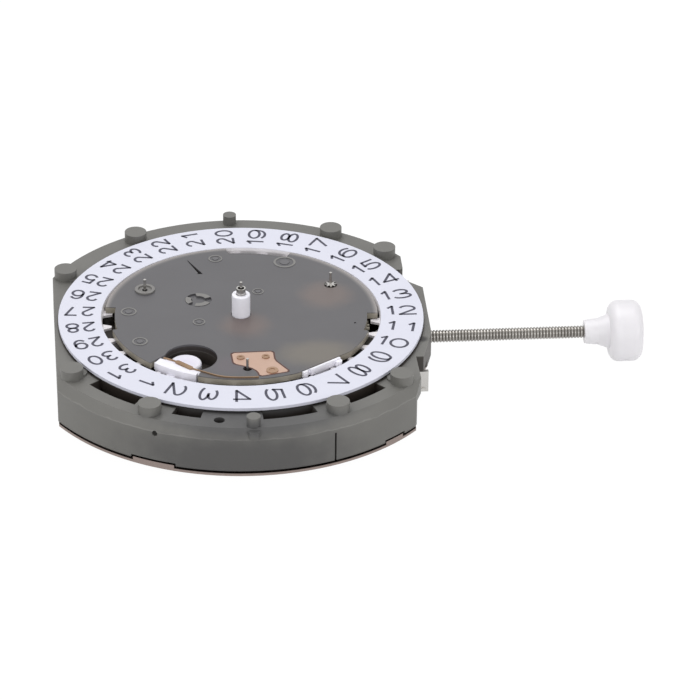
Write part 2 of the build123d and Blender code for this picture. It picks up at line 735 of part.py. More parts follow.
with BuildPart() as date_guard:
    disc(centre, guard_z, guard_thickness, guard_radius)
    fillet(date_guard.faces().sort_by(Axis.Z)[-1].edges(), guard_fillet)
    # Towards the back it reaches over the teeth, close to the ring
    for start, end in guard_wide_arcs:
        sector(centre, guard_cut_radius, guard_wide_radius, start, end, guard_z, guard_thickness)
    for start, end in (guard_right_cut, guard_left_cut, guard_back_cut):
        sector(centre, guard_cut_radius, far_side, start, end, guard_z - cut_overrun,
               guard_thickness + 2 * cut_overrun, Mode.SUBTRACT)
    sector(centre, guard_front_radius, far_side, *guard_front_arc, guard_z - cut_overrun,
           guard_thickness + 2 * cut_overrun, Mode.SUBTRACT)
    # Opening for the date jumper, out to the edge
    disc(jumper_hole, guard_z - cut_overrun, guard_thickness + 2 * cut_overrun,
         jumper_hole_radius, mode=Mode.SUBTRACT)
    sector(centre, jumper_gap_radius, far_side, *jumper_gap_angles, guard_z - cut_overrun,
           guard_thickness + 2 * cut_overrun, Mode.SUBTRACT)
    # Straight edge beside the corrector
    slab([moved(polar(reach_out, chord_angle), side * guard_radius, chord_angle + 90)
          for reach_out, side in ((chord_reach, -chord_half_share), (far_side, -chord_half_share),
                                  (far_side, chord_half_share), (chord_reach, chord_half_share))],
         guard_z - cut_overrun, guard_thickness + 2 * cut_overrun, Mode.SUBTRACT)
    # Centre hole, the collar at 10 o'clock and the holes at 2 and 6 o'clock
    disc(centre, guard_z - cut_overrun, guard_thickness + 2 * cut_overrun, sleeve_hole_radius,
         mode=Mode.SUBTRACT)
    disc(counter_left, guard_top_z - guard_fillet, collar_height + guard_fillet, collar_radius)
    disc(counter_left, guard_top_z + collar_height - collar_recess_depth, guard_thickness,
         collar_recess_radius, mode=Mode.SUBTRACT)
    for place, radius in ((counter_left, collar_hole_radius), (counter_right, bush_hole_radius),
                          (small_seconds, front_hole_radius)):
        disc(place, guard_z - cut_overrun, guard_thickness + 2 * cut_overrun, radius,
             mode=Mode.SUBTRACT)
    # Heads of the heat stakes stand in shallow rings
    for radius, angle, head in stakes:
        place = polar(radius, angle)
        disc(place, guard_top_z - guard_fillet, guard_fillet + stake_head_height, head)
        disc(place, guard_top_z, stake_head_height, head * stake_ring_share, mode=Mode.SUBTRACT)
        disc(place, guard_z - cut_overrun, guard_thickness + 2 * cut_overrun,
             head * stake_pin_share + seat_fit, mode=Mode.SUBTRACT)
    # Round recess with three raised arcs
    dimple_centre = polar(dial_dimple_reach_share * guard_radius, dial_dimple_angle)
    disc(dimple_centre, guard_top_z - dial_dimple_depth, guard_thickness, dial_dimple_radius,
         mode=Mode.SUBTRACT)
    for start, end in dial_dimple_arcs:
        sector(dimple_centre, *[dial_dimple_radius * share for share in dial_dimple_shares],
               start, end, guard_top_z - dial_dimple_depth - guard_fillet,
               dial_dimple_depth + guard_fillet + stake_head_height)
    # Wedge-shaped moulding slot with a foot, and a tiny hole
    slot_back = polar(slot_back_share * guard_radius, slot_angle)
    slot_front = polar(slot_front_share * guard_radius, slot_angle)
    slab([moved(slot_back, slot_tip_width / 2, slot_angle + 90),
          moved(slot_front, slot_width / 2, slot_angle + 90),
          moved(slot_front, slot_width / 2, slot_angle - 90),
          moved(slot_back, slot_tip_width / 2, slot_angle - 90)],
         guard_top_z - slot_depth, guard_thickness, Mode.SUBTRACT)
    slab([moved(slot_front, slot_width, angle) for angle in slot_foot_angles],
         guard_z - cut_overrun, guard_thickness + 2 * cut_overrun, Mode.SUBTRACT)
    disc(polar(tiny_hole_share * guard_radius, tiny_hole_angle), guard_top_z - slot_depth,
         guard_thickness, tiny_hole_radius, mode=Mode.SUBTRACT)
    # Recess for the contact plate
    with BuildSketch(Plane.XY.offset(guard_top_z - contact_thickness)) as recess:
        Polygon(*contact_outline, align=None)
        fillet(recess.vertices(), contact_corner)
        offset(amount=contact_gap)
    extrude(amount=guard_thickness, mode=Mode.SUBTRACT)
    for x, y, radius in contact_rivets_places:
        disc((x, y), guard_z - cut_overrun, guard_thickness + 2 * cut_overrun,
             radius * rivet_shank_share + seat_fit, mode=Mode.SUBTRACT)
    # Post under the guard that the day wheel turns on
    disc(day, dial_3_z, guard_z - dial_3_z, day_post_radius)
save(date_guard, "date_guard")

# Contact plate of copper alloy, and the rivets that hold it
with BuildPart() as contact_plate:
    with BuildSketch(Plane.XY.offset(guard_top_z - contact_thickness)) as profile:
        Polygon(*contact_outline, align=None)
        fillet(profile.vertices(), contact_corner)
    extrude(amount=contact_thickness)
    for x, y, radius in contact_rivets_places:
        disc((x, y), guard_top_z - contact_thickness, 2 * contact_thickness,
             radius * rivet_shank_share + seat_fit, mode=Mode.SUBTRACT)
save(contact_plate, "contact_plate")

with BuildPart() as contact_rivets:
    for x, y, radius in contact_rivets_places:
        disc((x, y), guard_z, guard_thickness, radius * rivet_shank_share)
        disc((x, y), guard_top_z, contact_thickness / 2, radius)
        disc((x, y), guard_top_z + contact_thickness / 4, contact_thickness, radius * rivet_dish_share,
             mode=Mode.SUBTRACT)
save(contact_rivets, "contact_rivets")

# Date jumper: white lever on a round hub, with its nose between two teeth of the ring
jumper_hub_radius = 1.12
jumper_hub_top = guard_z + guard_gap
jumper_tooth = 5.5
jumper_angle = tooth_angle + jumper_tooth * 360 / date_days
jumper_arm_width = 1.70
jumper_edge_radius = tooth_tip_radius - 4 * seat_fit
jumper_lip_shares = ((0.955, -134.8), (0.900, -135.4), (0.893, -133.0), (0.868, -131.4),
                     (0.866, -126.3), (0.893, -121.5), (0.903, -117.5), (0.940, -113.4))
jumper_body_angles = (-134.2, -113.6)
jumper_body_share = 0.80
jumper_post_hole_share = 0.75
nose_length = 0.42
nose_reach = tooth_tip_radius + nose_length
nose_root_width = 0.66
nose_tip_width = 0.22
with BuildPart() as date_jumper:
    disc(jumper_centre, web_top_z, jumper_hub_top - web_top_z, jumper_hub_radius)
    fillet(date_jumper.faces().sort_by(Axis.Z)[-1].edges(), dial_wheel_thickness)
    bar(jumper_centre, polar(jumper_edge_radius - jumper_arm_width / 2, jumper_angle),
        jumper_arm_width, web_top_z + guard_gap, guard_z - web_top_z - 2 * guard_gap)
    sector(centre, jumper_edge_radius - jumper_body_share * jumper_arm_width, jumper_edge_radius,
           *jumper_body_angles, web_top_z + guard_gap, guard_z - web_top_z)
    with BuildSketch(Plane.XY.offset(guard_z - guard_gap)):
        with BuildLine():
            Polyline(*[polar(guard_radius * share, angle) for share, angle in jumper_lip_shares])
            Line(polar(guard_radius * jumper_lip_shares[-1][0], jumper_lip_shares[-1][1]),
                 polar(jumper_edge_radius, jumper_lip_shares[-1][1]))
            ThreePointArc(polar(jumper_edge_radius, jumper_lip_shares[-1][1]),
                          polar(jumper_edge_radius, jumper_angle),
                          polar(jumper_edge_radius, jumper_lip_shares[0][1]))
            Line(polar(jumper_edge_radius, jumper_lip_shares[0][1]),
                 polar(guard_radius * jumper_lip_shares[0][0], jumper_lip_shares[0][1]))
        make_face()
    extrude(amount=guard_thickness + guard_gap)
    disc(jumper_centre, web_top_z - cut_overrun,
         cut_overrun + (guard_z - web_top_z) * jumper_post_hole_share,
         jumper_post_radius + running_fit, mode=Mode.SUBTRACT)
    # Nose, as high as the teeth
    slab([moved(polar(out, jumper_angle), side, jumper_angle + 90) for out, side in (
        (jumper_edge_radius - jumper_arm_width, -nose_root_width / 2),
        (tooth_tip_radius, -nose_root_width / 2), (nose_reach, -nose_tip_width / 2),
        (nose_reach, nose_tip_width / 2), (tooth_tip_radius, nose_root_width / 2),
        (jumper_edge_radius - jumper_arm_width, nose_root_width / 2))], tooth_z, tooth_thickness)
save(date_jumper, "date_jumper")

# Copper spring that presses the jumper, lying on the guard's front edge
spring_path = scaled([(-0.617, -0.638), (-0.558, -0.674), (-0.514, -0.708), (-0.422, -0.800),
                      (-0.330, -0.861), (-0.216, -0.931), (-0.103, -0.958), (0.075, -0.963)],
                     guard_radius)
spring_width = 0.08
spring_height = 0.10
leaf_width = 0.36
with BuildPart() as jumper_spring:
    with BuildSketch(Plane.XY.offset(guard_top_z)):
        with BuildLine() as wire:
            Spline(*spring_path)
        trace(wire.line, line_width=spring_width)
    extrude(amount=spring_height)
    bar(spring_path[2], spring_path[3], leaf_width, guard_top_z, spring_height)
save(jumper_spring, "jumper_spring")

# Corrector: white rocking arm beside the straight edge of the guard
corrector_half = 1.75
corrector_neck_half = 0.60
corrector_taper_share = 0.80
lip_insets = (0.35, 0.17)
lip_reach = [guard_radius - inset for inset in lip_insets]
lip_end_share = 0.90
lip_notch_shares = (-0.78, -0.72, -0.62, -0.56)
corrector_neck_reach = sum(lip_reach) / 2
nub_radius = 0.26
nub_along_share = 0.75
nub_height_share = 0.80
with BuildPart() as date_corrector:
    lip_z = guard_z - guard_gap / 2
    slab([beside_chord(corrector_back_reach, -corrector_half),
          beside_chord(corrector_front_reach, -corrector_half),
          beside_chord(corrector_front_reach, corrector_taper_share * corrector_half),
          beside_chord(corrector_back_reach, corrector_half)],
         web_top_z + guard_gap, tooth_z - web_top_z - 2 * guard_gap)
    slab([beside_chord(corrector_back_reach, -corrector_neck_half),
          beside_chord(corrector_neck_reach, -corrector_neck_half),
          beside_chord(corrector_neck_reach, corrector_neck_half),
          beside_chord(corrector_back_reach, corrector_neck_half)],
         web_top_z + guard_gap, lip_z - web_top_z - guard_gap)
    # Lip that shows beside the guard, with a notch and a round nub
    notch_along = [share * corrector_half for share in lip_notch_shares]
    slab([beside_chord(lip_reach[0], -corrector_half), beside_chord(lip_reach[1], -corrector_half),
          beside_chord(lip_reach[1], notch_along[0]),
          beside_chord(lip_reach[0] + seat_fit, notch_along[1]),
          beside_chord(lip_reach[0] + seat_fit, notch_along[2]),
          beside_chord(lip_reach[1], notch_along[3]),
          beside_chord(lip_reach[1], lip_end_share * corrector_half),
          beside_chord(lip_reach[0], lip_end_share * corrector_half)], lip_z, guard_thickness)
    disc(beside_chord(lip_reach[0] + nub_radius, nub_along_share * corrector_half), lip_z,
         guard_thickness * nub_height_share, nub_radius)
    disc(corrector_pivot, web_top_z, guard_z - web_top_z, corrector_pivot_radius + running_fit,
         mode=Mode.SUBTRACT)
save(date_corrector, "date_corrector")

# Back plate: its bright rim shows below the frame
plate_width = 3.95
plate_open_radius = rim_radius - plate_width
foot_tab_width = 0.40
foot_tab_height = 0.25
foot_tab_margin = 0.50
with BuildPart() as back_plate:
    disc(centre, rim_z, rim_thickness, rim_radius, plate_open_radius)
    disc((0, battery_offset), rim_z, rim_thickness, battery_radius + battery_room + wall_thickness)
    cut_sides(low_side_shares, rim_z - cut_overrun, rim_thickness + 2 * cut_overrun, rim_inset)
    # Tabs bent up into the notches at the foot of the wall
    for start, end in foot_notch_angles:
        sector(centre, rim_radius - foot_tab_width, rim_radius, start + foot_tab_margin,
               end - foot_tab_margin, rim_z + rim_thickness, foot_tab_height)
    disc((0, battery_offset), rim_z - cut_overrun, rim_thickness + 2 * cut_overrun,
         battery_radius + battery_room, mode=Mode.SUBTRACT)
    for place in cover_screws:
        disc(place, rim_z - cut_overrun, rim_thickness + 2 * cut_overrun,
             screw_shank_radius + seat_fit, mode=Mode.SUBTRACT)
save(back_plate, "back_plate")

# Back cover: a shallow pan over the works, open at the battery
cover_inset = 1.95
cover_flat_inset = 0.90
cover_front_inset = 0.30
cover_radius = rim_radius - cover_inset
cover_flat = left_flat - cover_flat_inset
cover_front_flat = recess_floor - cover_front_inset
cover_wall = 0.40
screw_head_share = 0.85
strap_width = 2.40
strap_thickness = 0.20
strap_lift = 0.04
strap_overhang = 0.80
strap_length = 2 * (battery_radius + battery_room + strap_overhang)
strap_slot_shares = (0.45, 0.30)
strap_leg_share = 0.90
cover_chamfer = 0.10
with BuildPart() as back_cover:
    with BuildSketch():
        Circle(cover_radius)
        with Locations(((cover_front_flat - cover_flat) / 2, 0)):
            Rectangle(cover_flat + cover_front_flat, 2 * cover_radius, mode=Mode.INTERSECT)
    extrude(amount=rim_z)
    chamfer(back_cover.faces().sort_by(Axis.Z)[0].edges(), cover_chamfer)
    with BuildSketch(Plane.XY.offset(cover_thickness)):
        Circle(cover_radius - cover_wall)
        with Locations(((cover_front_flat - cover_flat) / 2, 0)):
            Rectangle(cover_flat + cover_front_flat - 2 * cover_wall, 2 * cover_radius,
                      mode=Mode.INTERSECT)
    extrude(amount=rim_z, mode=Mode.SUBTRACT)
    for place in cover_screws:
        disc(place, cover_thickness / 2, rim_z - cover_thickness / 2, boss_radius)
        disc(place, -cut_overrun, cut_overrun + screw_head_height + seat_fit,
             screw_head_radius * screw_head_share + seat_fit, mode=Mode.SUBTRACT)
        disc(place, 0, far_side, screw_shank_radius + seat_fit, mode=Mode.SUBTRACT)
    disc((0, battery_offset), -cut_overrun, far_side, battery_radius + battery_room,
         mode=Mode.SUBTRACT)
    with BuildSketch(Plane.XY.offset(-cut_overrun)):
        with Locations((0, battery_offset)):
            Rectangle(strap_length + 2 * seat_fit, strap_width + 2 * seat_fit)
    extrude(amount=far_side, mode=Mode.SUBTRACT)
save(back_cover, "back_cover")

# Battery and what touches it
battery_z = cover_thickness
battery_profile_shares = [(0, 0), (1, 0), (1, 0.82), (0.92, 0.88), (0.88, 0.88), (0.84, 1), (0, 1)]
with BuildPart() as battery:
    with BuildSketch(Plane(origin=(0, battery_offset, battery_z), x_dir=(1, 0, 0),
                           z_dir=(0, -1, 0))):
        with BuildLine():
            Polyline(*[(out * battery_radius, up * battery_height)
                       for out, up in battery_profile_shares], close=True)
        make_face()
    revolve(axis=Axis((0, battery_offset, 0), (0, 0, 1)))
save(battery, "battery")

with BuildPart() as battery_clamp:
    with BuildSketch(Plane.XY.offset(strap_lift)):
        with Locations((0, battery_offset)):
            Rectangle(strap_length, strap_width)
            Rectangle(strap_length * strap_slot_shares[0], strap_width * strap_slot_shares[1],
                      mode=Mode.SUBTRACT)
    extrude(amount=strap_thickness)
    leg = strap_overhang * strap_leg_share
    for side in (1, -1):
        with BuildSketch(Plane.XY.offset(strap_lift)):
            with Locations((side * (strap_length - leg) / 2, battery_offset)):
                Rectangle(leg, strap_width)
        extrude(amount=rim_z - strap_lift)
save(battery_clamp, "battery_clamp")

contact_strip_width = 1.20
contact_strip_thickness = 0.12
contact_strip_reach_share = 0.55
contact_post_share = 0.40
with BuildPart() as battery_contact:
    strip_z = battery_z + battery_height
    bar((0, battery_offset), (0, battery_offset - battery_radius * contact_strip_reach_share),
        contact_strip_width, strip_z, contact_strip_thickness)
    disc((0, battery_offset), strip_z, web_z - strip_z, contact_strip_width * contact_post_share)
save(battery_contact, "battery_contact")

# Train bridge with the lower pivot holes
bridge_radius = 9.20
bridge_ear_radius = 0.90
with BuildPart() as train_bridge:
    with BuildSketch(Plane.XY.offset(bridge_z)):
        Circle(bridge_radius)
        for train in trains.values():
            for start, end in ((train["hand"], train["driver"]), (train["driver"], train["rotor"])):
                with Locations(((start[0] + end[0]) / 2, (start[1] + end[1]) / 2)):
                    SlotCenterToCenter(distance(start, end), 2 * bridge_ear_radius,
                                       rotation=bearing(start, end))
        with Locations((0, battery_offset)):
            Circle(battery_radius + battery_room, mode=Mode.SUBTRACT)
        with Locations((square_x + bridge_radius, 0)):
            Rectangle(2 * bridge_radius + 4 * clutch_start_gap, 4 * clutch_flange_radius,
                      mode=Mode.SUBTRACT)
        for place in [*pivots, third, centre, counter_left, counter_right, small_seconds]:
            with Locations(place):
                Circle(pivot_hole, mode=Mode.SUBTRACT)
        for place in bridge_posts:
            with Locations(place):
                Circle(bridge_screw_radius + seat_fit, mode=Mode.SUBTRACT)
    extrude(amount=bridge_thickness)
save(train_bridge, "train_bridge")

bridge_screw_share = 0.90
bridge_slot_angle = 35
with BuildPart() as bridge_screws:
    for place in bridge_posts:
        disc(place, bridge_z - board_gap - board_thickness, board_gap + board_thickness,
             bridge_screw_head)
        disc(place, bridge_z, bridge_thickness + bridge_screw_depth * bridge_screw_share,
             bridge_screw_radius)
        with BuildSketch(Plane.XY.offset(bridge_z - board_gap - board_thickness)) as slot:
            with Locations(place):
                Rectangle(2 * bridge_screw_head, screw_slot_width / 2, rotation=bridge_slot_angle)
        extrude(slot.sketch, amount=board_thickness / 2, mode=Mode.SUBTRACT)
save(bridge_screws, "bridge_screws")

screw_slot_angle = 60
screw_slot_share = 0.60
with BuildPart() as cover_screws_group:
    for place in cover_screws:
        disc(place, seat_fit, screw_head_height, screw_head_radius * screw_head_share)
        disc(place, screw_head_height, stator_z - screw_head_height + stator_thickness / 2,
             screw_shank_radius)
        with BuildSketch(Plane.XY.offset(seat_fit)) as slot:
            with Locations(place):
                Rectangle(2 * screw_head_radius, screw_slot_width, rotation=screw_slot_angle)
        extrude(slot.sketch, amount=screw_head_height * screw_slot_share, mode=Mode.SUBTRACT)
save(cover_screws_group, "cover_screws")

# Circuit board with its chip and crystal, along the lower half of the frame
board_wall_gap = 0.40
board_width = 3.70
board_outer_radius = cavity_radius - board_wall_gap
board_inner_radius = board_outer_radius - board_width
board_angles = (192, 318)
chip_side = 2.20
chip_height = 0.42
chip_angle = 267.5
chip_inset = 1.50
chip_circle = board_outer_radius - chip_inset
crystal_radius = 0.62
crystal_length = 3.40
crystal_angle = 249
crystal_inset = 1.65
crystal_circle = board_outer_radius - crystal_inset
with BuildPart() as circuit_board:
    sector(centre, board_inner_radius, board_outer_radius, *board_angles, board_z,
           board_thickness)
    slab([(-cavity_flat + running_fit, far_side), (-cavity_flat + running_fit, -far_side),
          (-far_side, -far_side), (-far_side, far_side)], board_z, board_thickness,
         Mode.SUBTRACT)
    for place in cover_screws:
        disc(place, board_z, board_thickness, boss_radius + running_fit, mode=Mode.SUBTRACT)
save(circuit_board, "circuit_board")

with BuildPart() as ic_chip:
    with BuildSketch(Plane.XY.offset(board_z + board_thickness)):
        with Locations(polar(chip_circle, chip_angle)):
            Rectangle(chip_side, chip_side)
    extrude(amount=chip_height)
    chamfer(ic_chip.faces().sort_by(Axis.Z)[-1].edges(), chip_height / 5)
save(ic_chip, "ic_chip")

with BuildPart() as quartz_crystal:
    foot = polar(crystal_circle, crystal_angle)
    with BuildSketch(Plane(origin=(*moved(foot, crystal_length / 2, crystal_angle + 180),
                                   board_z + board_thickness + crystal_radius),
                           z_dir=(*polar(1, crystal_angle), 0))):
        Circle(crystal_radius)
    extrude(amount=crystal_length)
    fillet(quartz_crystal.edges().filter_by(GeomType.CIRCLE), crystal_radius / 4)
save(quartz_crystal, "quartz_crystal")

# Stepping motors: stator, coil core, winding and rotor
for name, train in trains.items():
    rotor_place = train["rotor"]
    coil_place = train["coil"]
    along = train["coil_angle"] + 90
    ends = [moved(coil_place, side * core_length / 2, along) for side in (1, -1)]
    with BuildPart() as stator:
        with BuildSketch(Plane.XY.offset(stator_z)):
            with Locations(rotor_place):
                Circle(stator_pole_radius)
            with Locations(*ends):
                Circle(stator_lug_radius)
            make_hull()
            with Locations(rotor_place):
                Circle(magnet_radius + magnet_gap, mode=Mode.SUBTRACT)
            with Locations(coil_place):
                Rectangle(2 * winding_radius + 4 * magnet_gap, winding_length + 2 * magnet_gap,
                          rotation=train["coil_angle"], mode=Mode.SUBTRACT)
        extrude(amount=stator_thickness / 2)
    save(stator, name + "_stator")
    core_z = stator_z + stator_thickness / 2
    with BuildPart() as core:
        bar(*ends, core_width, core_z, core_height)
    save(core, name + "_coil_core")
    with BuildPart() as winding:
        winding_start = moved(coil_place, winding_length / 2, along + 180)
        with BuildSketch(Plane(origin=(*winding_start, core_z + core_height / 2),
                               x_dir=(*polar(1, along + 90), 0), z_dir=(*polar(1, along), 0))):
            Circle(winding_radius)
            Rectangle(core_width, core_height, mode=Mode.SUBTRACT)
        extrude(amount=winding_length)
    save(winding, name + "_winding")

# Trains: where each gear's teeth stand at rest
pivot_low_z = bridge_z + bridge_gap
pivot_high_z = web_z + web_thickness / 2
pinion_height = wheel_thickness + 3 * level_gap / 2
front_disc_shares = (0.20, 0.55)
for name, train in trains.items():
    driver_turn = mesh_turn(train["hand"], 0, seconds_teeth, train["driver"], pinion_teeth)
    rotor_turn = mesh_turn(train["driver"], 0, driver_teeth, train["rotor"], rotor_pinion_teeth)
    with BuildPart() as rotor:
        disc(train["rotor"], pivot_low_z, pivot_high_z - pivot_low_z, arbor_radius)
        disc(train["rotor"], stator_z + seat_fit, magnet_height, magnet_radius)
        gear(train["rotor"], level_1_z - level_gap / 2, wheel_thickness + level_gap,
             rotor_pinion_teeth, train["driver_module"], rotor_turn)
    save(rotor, name + "_rotor")
    with BuildPart() as driver:
        disc(train["driver"], pivot_low_z, pivot_high_z - pivot_low_z, arbor_radius)
        spoked_gear(train["driver"], level_1_z, wheel_thickness, driver_teeth,
                    train["driver_module"], 0, hub_radius)
        gear(train["driver"], level_1_z + wheel_thickness, pinion_height, pinion_teeth,
             train["module"], driver_turn)
    save(driver, name + "_driver_wheel")
    with BuildPart() as hand_wheel:
        seat_z, tip_z = hand_seats[name]
        disc(train["hand"], pivot_low_z, seat_z - taper_length - pivot_low_z, arbor_radius)
        taper(train["hand"], seat_z - taper_length, taper_length, arbor_radius, hand_seat_radius)
        disc(train["hand"], seat_z, tip_z - seat_z, hand_seat_radius)
        spoked_gear(train["hand"], level_2_z, wheel_thickness, seconds_teeth, train["module"], 0,
                    hub_radius)
        if name == "time":
            third_turn = mesh_turn(train["hand"], 0, pinion_teeth, third, third_teeth)
            gear(train["hand"], level_2_z + wheel_thickness, pinion_height, pinion_teeth,
                 third_module, 0)
        if name == "counter_right":
            petal_height = guard_thickness * petal_depth_share + petal_rise
            gear(train["hand"], guard_top_z + petal_rise - petal_height, petal_height,
                 rotor_pinion_teeth, petal_radius / (rotor_pinion_teeth / 2 + tooth_rise_share), 0)
        if name == "time":
            disc(train["hand"], guard_z - guard_thickness * front_disc_shares[0],
                 guard_thickness * front_disc_shares[1], front_hole_radius - 2 * running_fit)
    save(hand_wheel, name + "_hand_wheel")

with BuildPart() as third_wheel:
    centre_turn = 0
    third_pinion_turn = mesh_turn(centre, centre_turn, centre_teeth, third, centre_pinion_teeth)
    disc(third, pivot_low_z, pivot_high_z - pivot_low_z, arbor_radius)
    spoked_gear(third, level_3_z, wheel_thickness, third_teeth, third_module, third_turn, hub_radius)
    gear(third, level_3_z + wheel_thickness, pinion_height, centre_pinion_teeth, centre_module,
         third_pinion_turn)
save(third_wheel, "third_wheel")

tube_bore = arbor_radius + running_fit
with BuildPart() as centre_wheel:
    spoked_gear(centre, level_4_z, wheel_thickness, centre_teeth, centre_module, centre_turn,
                hub_radius, tube_bore)
    disc(centre, level_4_z, sleeve_top_z - taper_length - level_4_z, centre_tube_radius, tube_bore)
save(centre_wheel, "centre_wheel")

# Motion work: cannon pinion, minute wheel, hour wheel, day wheel and setting wheel
with BuildPart() as cannon_pinion:
    gear(centre, dial_1_z, dial_wheel_thickness, cannon_teeth, minute_module, 0, cannon_bore)
    disc(centre, dial_1_z, sleeve_top_z - taper_length - dial_1_z, cannon_radius)
    taper(centre, sleeve_top_z - taper_length, taper_length, cannon_radius,
          cannon_radius - seat_step)
    disc(centre, sleeve_top_z, cannon_top_z - sleeve_top_z, cannon_radius - seat_step)
    disc(centre, dial_1_z - cut_overrun, cannon_top_z - dial_1_z + 2 * cut_overrun, cannon_bore,
         mode=Mode.SUBTRACT)
save(cannon_pinion, "cannon_pinion")

minute_hub_share = 1.50
with BuildPart() as minute_wheel:
    minute_turn = mesh_turn(centre, 0, cannon_teeth, minute, minute_teeth)
    pinion_turn = mesh_turn(centre, 0, hour_teeth, minute, minute_pinion_teeth)
    minute_bore = post_radius + running_fit
    spoked_gear(minute, dial_1_z, dial_wheel_thickness, minute_teeth, minute_module, minute_turn,
                hub_radius * minute_hub_share, minute_bore)
    gear(minute, dial_1_z + dial_wheel_thickness, dial_wheel_thickness + dial_level_gap,
         minute_pinion_teeth, hour_module, pinion_turn, minute_bore)
save(minute_wheel, "minute_wheel")

sleeve_bore = cannon_radius + running_fit
with BuildPart() as hour_wheel:
    day_pinion_turn = 0
    gear(centre, dial_2_z, dial_wheel_thickness, hour_teeth, hour_module, 0, sleeve_bore)
    gear(centre, dial_2_z + dial_wheel_thickness, dial_3_z + wheel_thickness - dial_2_z
         - dial_wheel_thickness, day_pinion_teeth, day_module, day_pinion_turn, sleeve_bore)
    taper(centre, dial_2_z, hour_seat_z - dial_2_z, sleeve_radius, sleeve_radius - seat_step)
    disc(centre, hour_seat_z, sleeve_top_z - hour_seat_z, sleeve_radius - seat_step)
    disc(centre, dial_2_z - cut_overrun, sleeve_top_z - dial_2_z + 2 * cut_overrun, sleeve_bore,
         mode=Mode.SUBTRACT)
    fillet(hour_wheel.faces().sort_by(Axis.Z)[-1].edges().sort_by(SortBy.LENGTH)[-1], sleeve_round)
save(hour_wheel, "hour_wheel")

day_hub_radius = 0.75
finger_width = 0.50
finger_root_share = 0.80
with BuildPart() as day_wheel:
    day_turn = mesh_turn(centre, day_pinion_turn, day_pinion_teeth, day, day_teeth)
    day_bore = day_post_radius + running_fit
    spoked_gear(day, dial_3_z, wheel_thickness, day_teeth, day_module, day_turn, day_hub_radius,
                day_bore)
    finger_z = dial_3_z + wheel_thickness
    finger_height = tooth_z + tooth_thickness - guard_gap / 2 - finger_z
    disc(day, finger_z, finger_height, day_hub_radius, day_bore)
    bar(moved(day, day_hub_radius * finger_root_share, day_finger_angle),
        moved(day, day_finger_reach - finger_width / 2, day_finger_angle), finger_width,
        finger_z, finger_height)
save(day_wheel, "day_wheel")

with BuildPart() as setting_wheel:
    setting_turn = mesh_turn(minute, minute_turn, minute_teeth, setting, setting_teeth)
    gear(setting, dial_1_z, dial_wheel_thickness, setting_teeth, minute_module, setting_turn,
         post_radius + running_fit)
save(setting_wheel, "setting_wheel")

# Clutch wheel on the square of the stem
flange_width = 0.50
clutch_tooth_share = 0.70
with BuildPart() as clutch_wheel:
    with BuildSketch(stem_plane):
        with BuildLine():
            Polyline((clutch_start_x, 0), (clutch_start_x, clutch_flange_radius),
                     (clutch_start_x + flange_width, clutch_flange_radius),
                     (clutch_start_x + flange_width, clutch_radius),
                     (clutch_start_x + flange_width + clutch_end_width, clutch_radius),
                     (clutch_start_x + flange_width + clutch_end_width, clutch_groove_radius),
                     (clutch_end_x - clutch_end_width, clutch_groove_radius),
                     (clutch_end_x - clutch_end_width, clutch_radius), (clutch_end_x, clutch_radius),
                     (clutch_end_x, 0), close=True)
        make_face()
    revolve(axis=stem_axis)
    with BuildSketch(Plane.YZ.offset(clutch_start_x - cut_overrun)):
        with Locations((0, stem_z)):
            Rectangle(stem_square + 2 * running_fit, stem_square + 2 * running_fit)
    extrude(amount=far_side, mode=Mode.SUBTRACT)
    # Teeth on the end that faces the setting wheel
    with BuildSketch(Plane.YZ.offset(clutch_start_x - cut_overrun)):
        with Locations((0, stem_z)):
            with PolarLocations(clutch_flange_radius, cannon_teeth):
                Rectangle(clutch_flange_radius - clutch_radius, clutch_flange_radius / 4)
    extrude(amount=cut_overrun + flange_width * clutch_tooth_share, mode=Mode.SUBTRACT)
save(clutch_wheel, "clutch_wheel")

# Winding stem: pilot, square, collar, groove, journal and thread
crest_shares = (0.30, 0.70)
with BuildPart() as stem:
    thread_start_x = stem_flat + thread_pitch
    turns = int((stem_screw_end_x - thread_start_x) / thread_pitch)
    profile = [(pilot_x, 0), (pilot_x, stem_pilot_radius), (collar_x, stem_pilot_radius),
               (collar_x, stem_radius), (groove_x, stem_radius), (groove_x, stem_groove_radius),
               (journal_x, stem_groove_radius), (journal_x, stem_radius),
               (thread_start_x, stem_radius)]
    for turn in range(turns):
        x = thread_start_x + turn * thread_pitch
        profile += [(x, thread_radius - thread_depth),
                    (x + thread_pitch * crest_shares[0], thread_radius),
                    (x + thread_pitch * crest_shares[1], thread_radius)]
    end_x = thread_start_x + turns * thread_pitch
    profile += [(end_x, thread_radius - thread_depth), (end_x, 0)]
    with BuildSketch(stem_plane):
        with BuildLine():
            Polyline(*profile, close=True)
        make_face()
    revolve(axis=stem_axis)
    with BuildSketch(Plane.YZ.offset(square_x)):
        with Locations((0, stem_z)):
            Rectangle(stem_square, stem_square)
    extrude(amount=square_length)
save(stem, "stem")

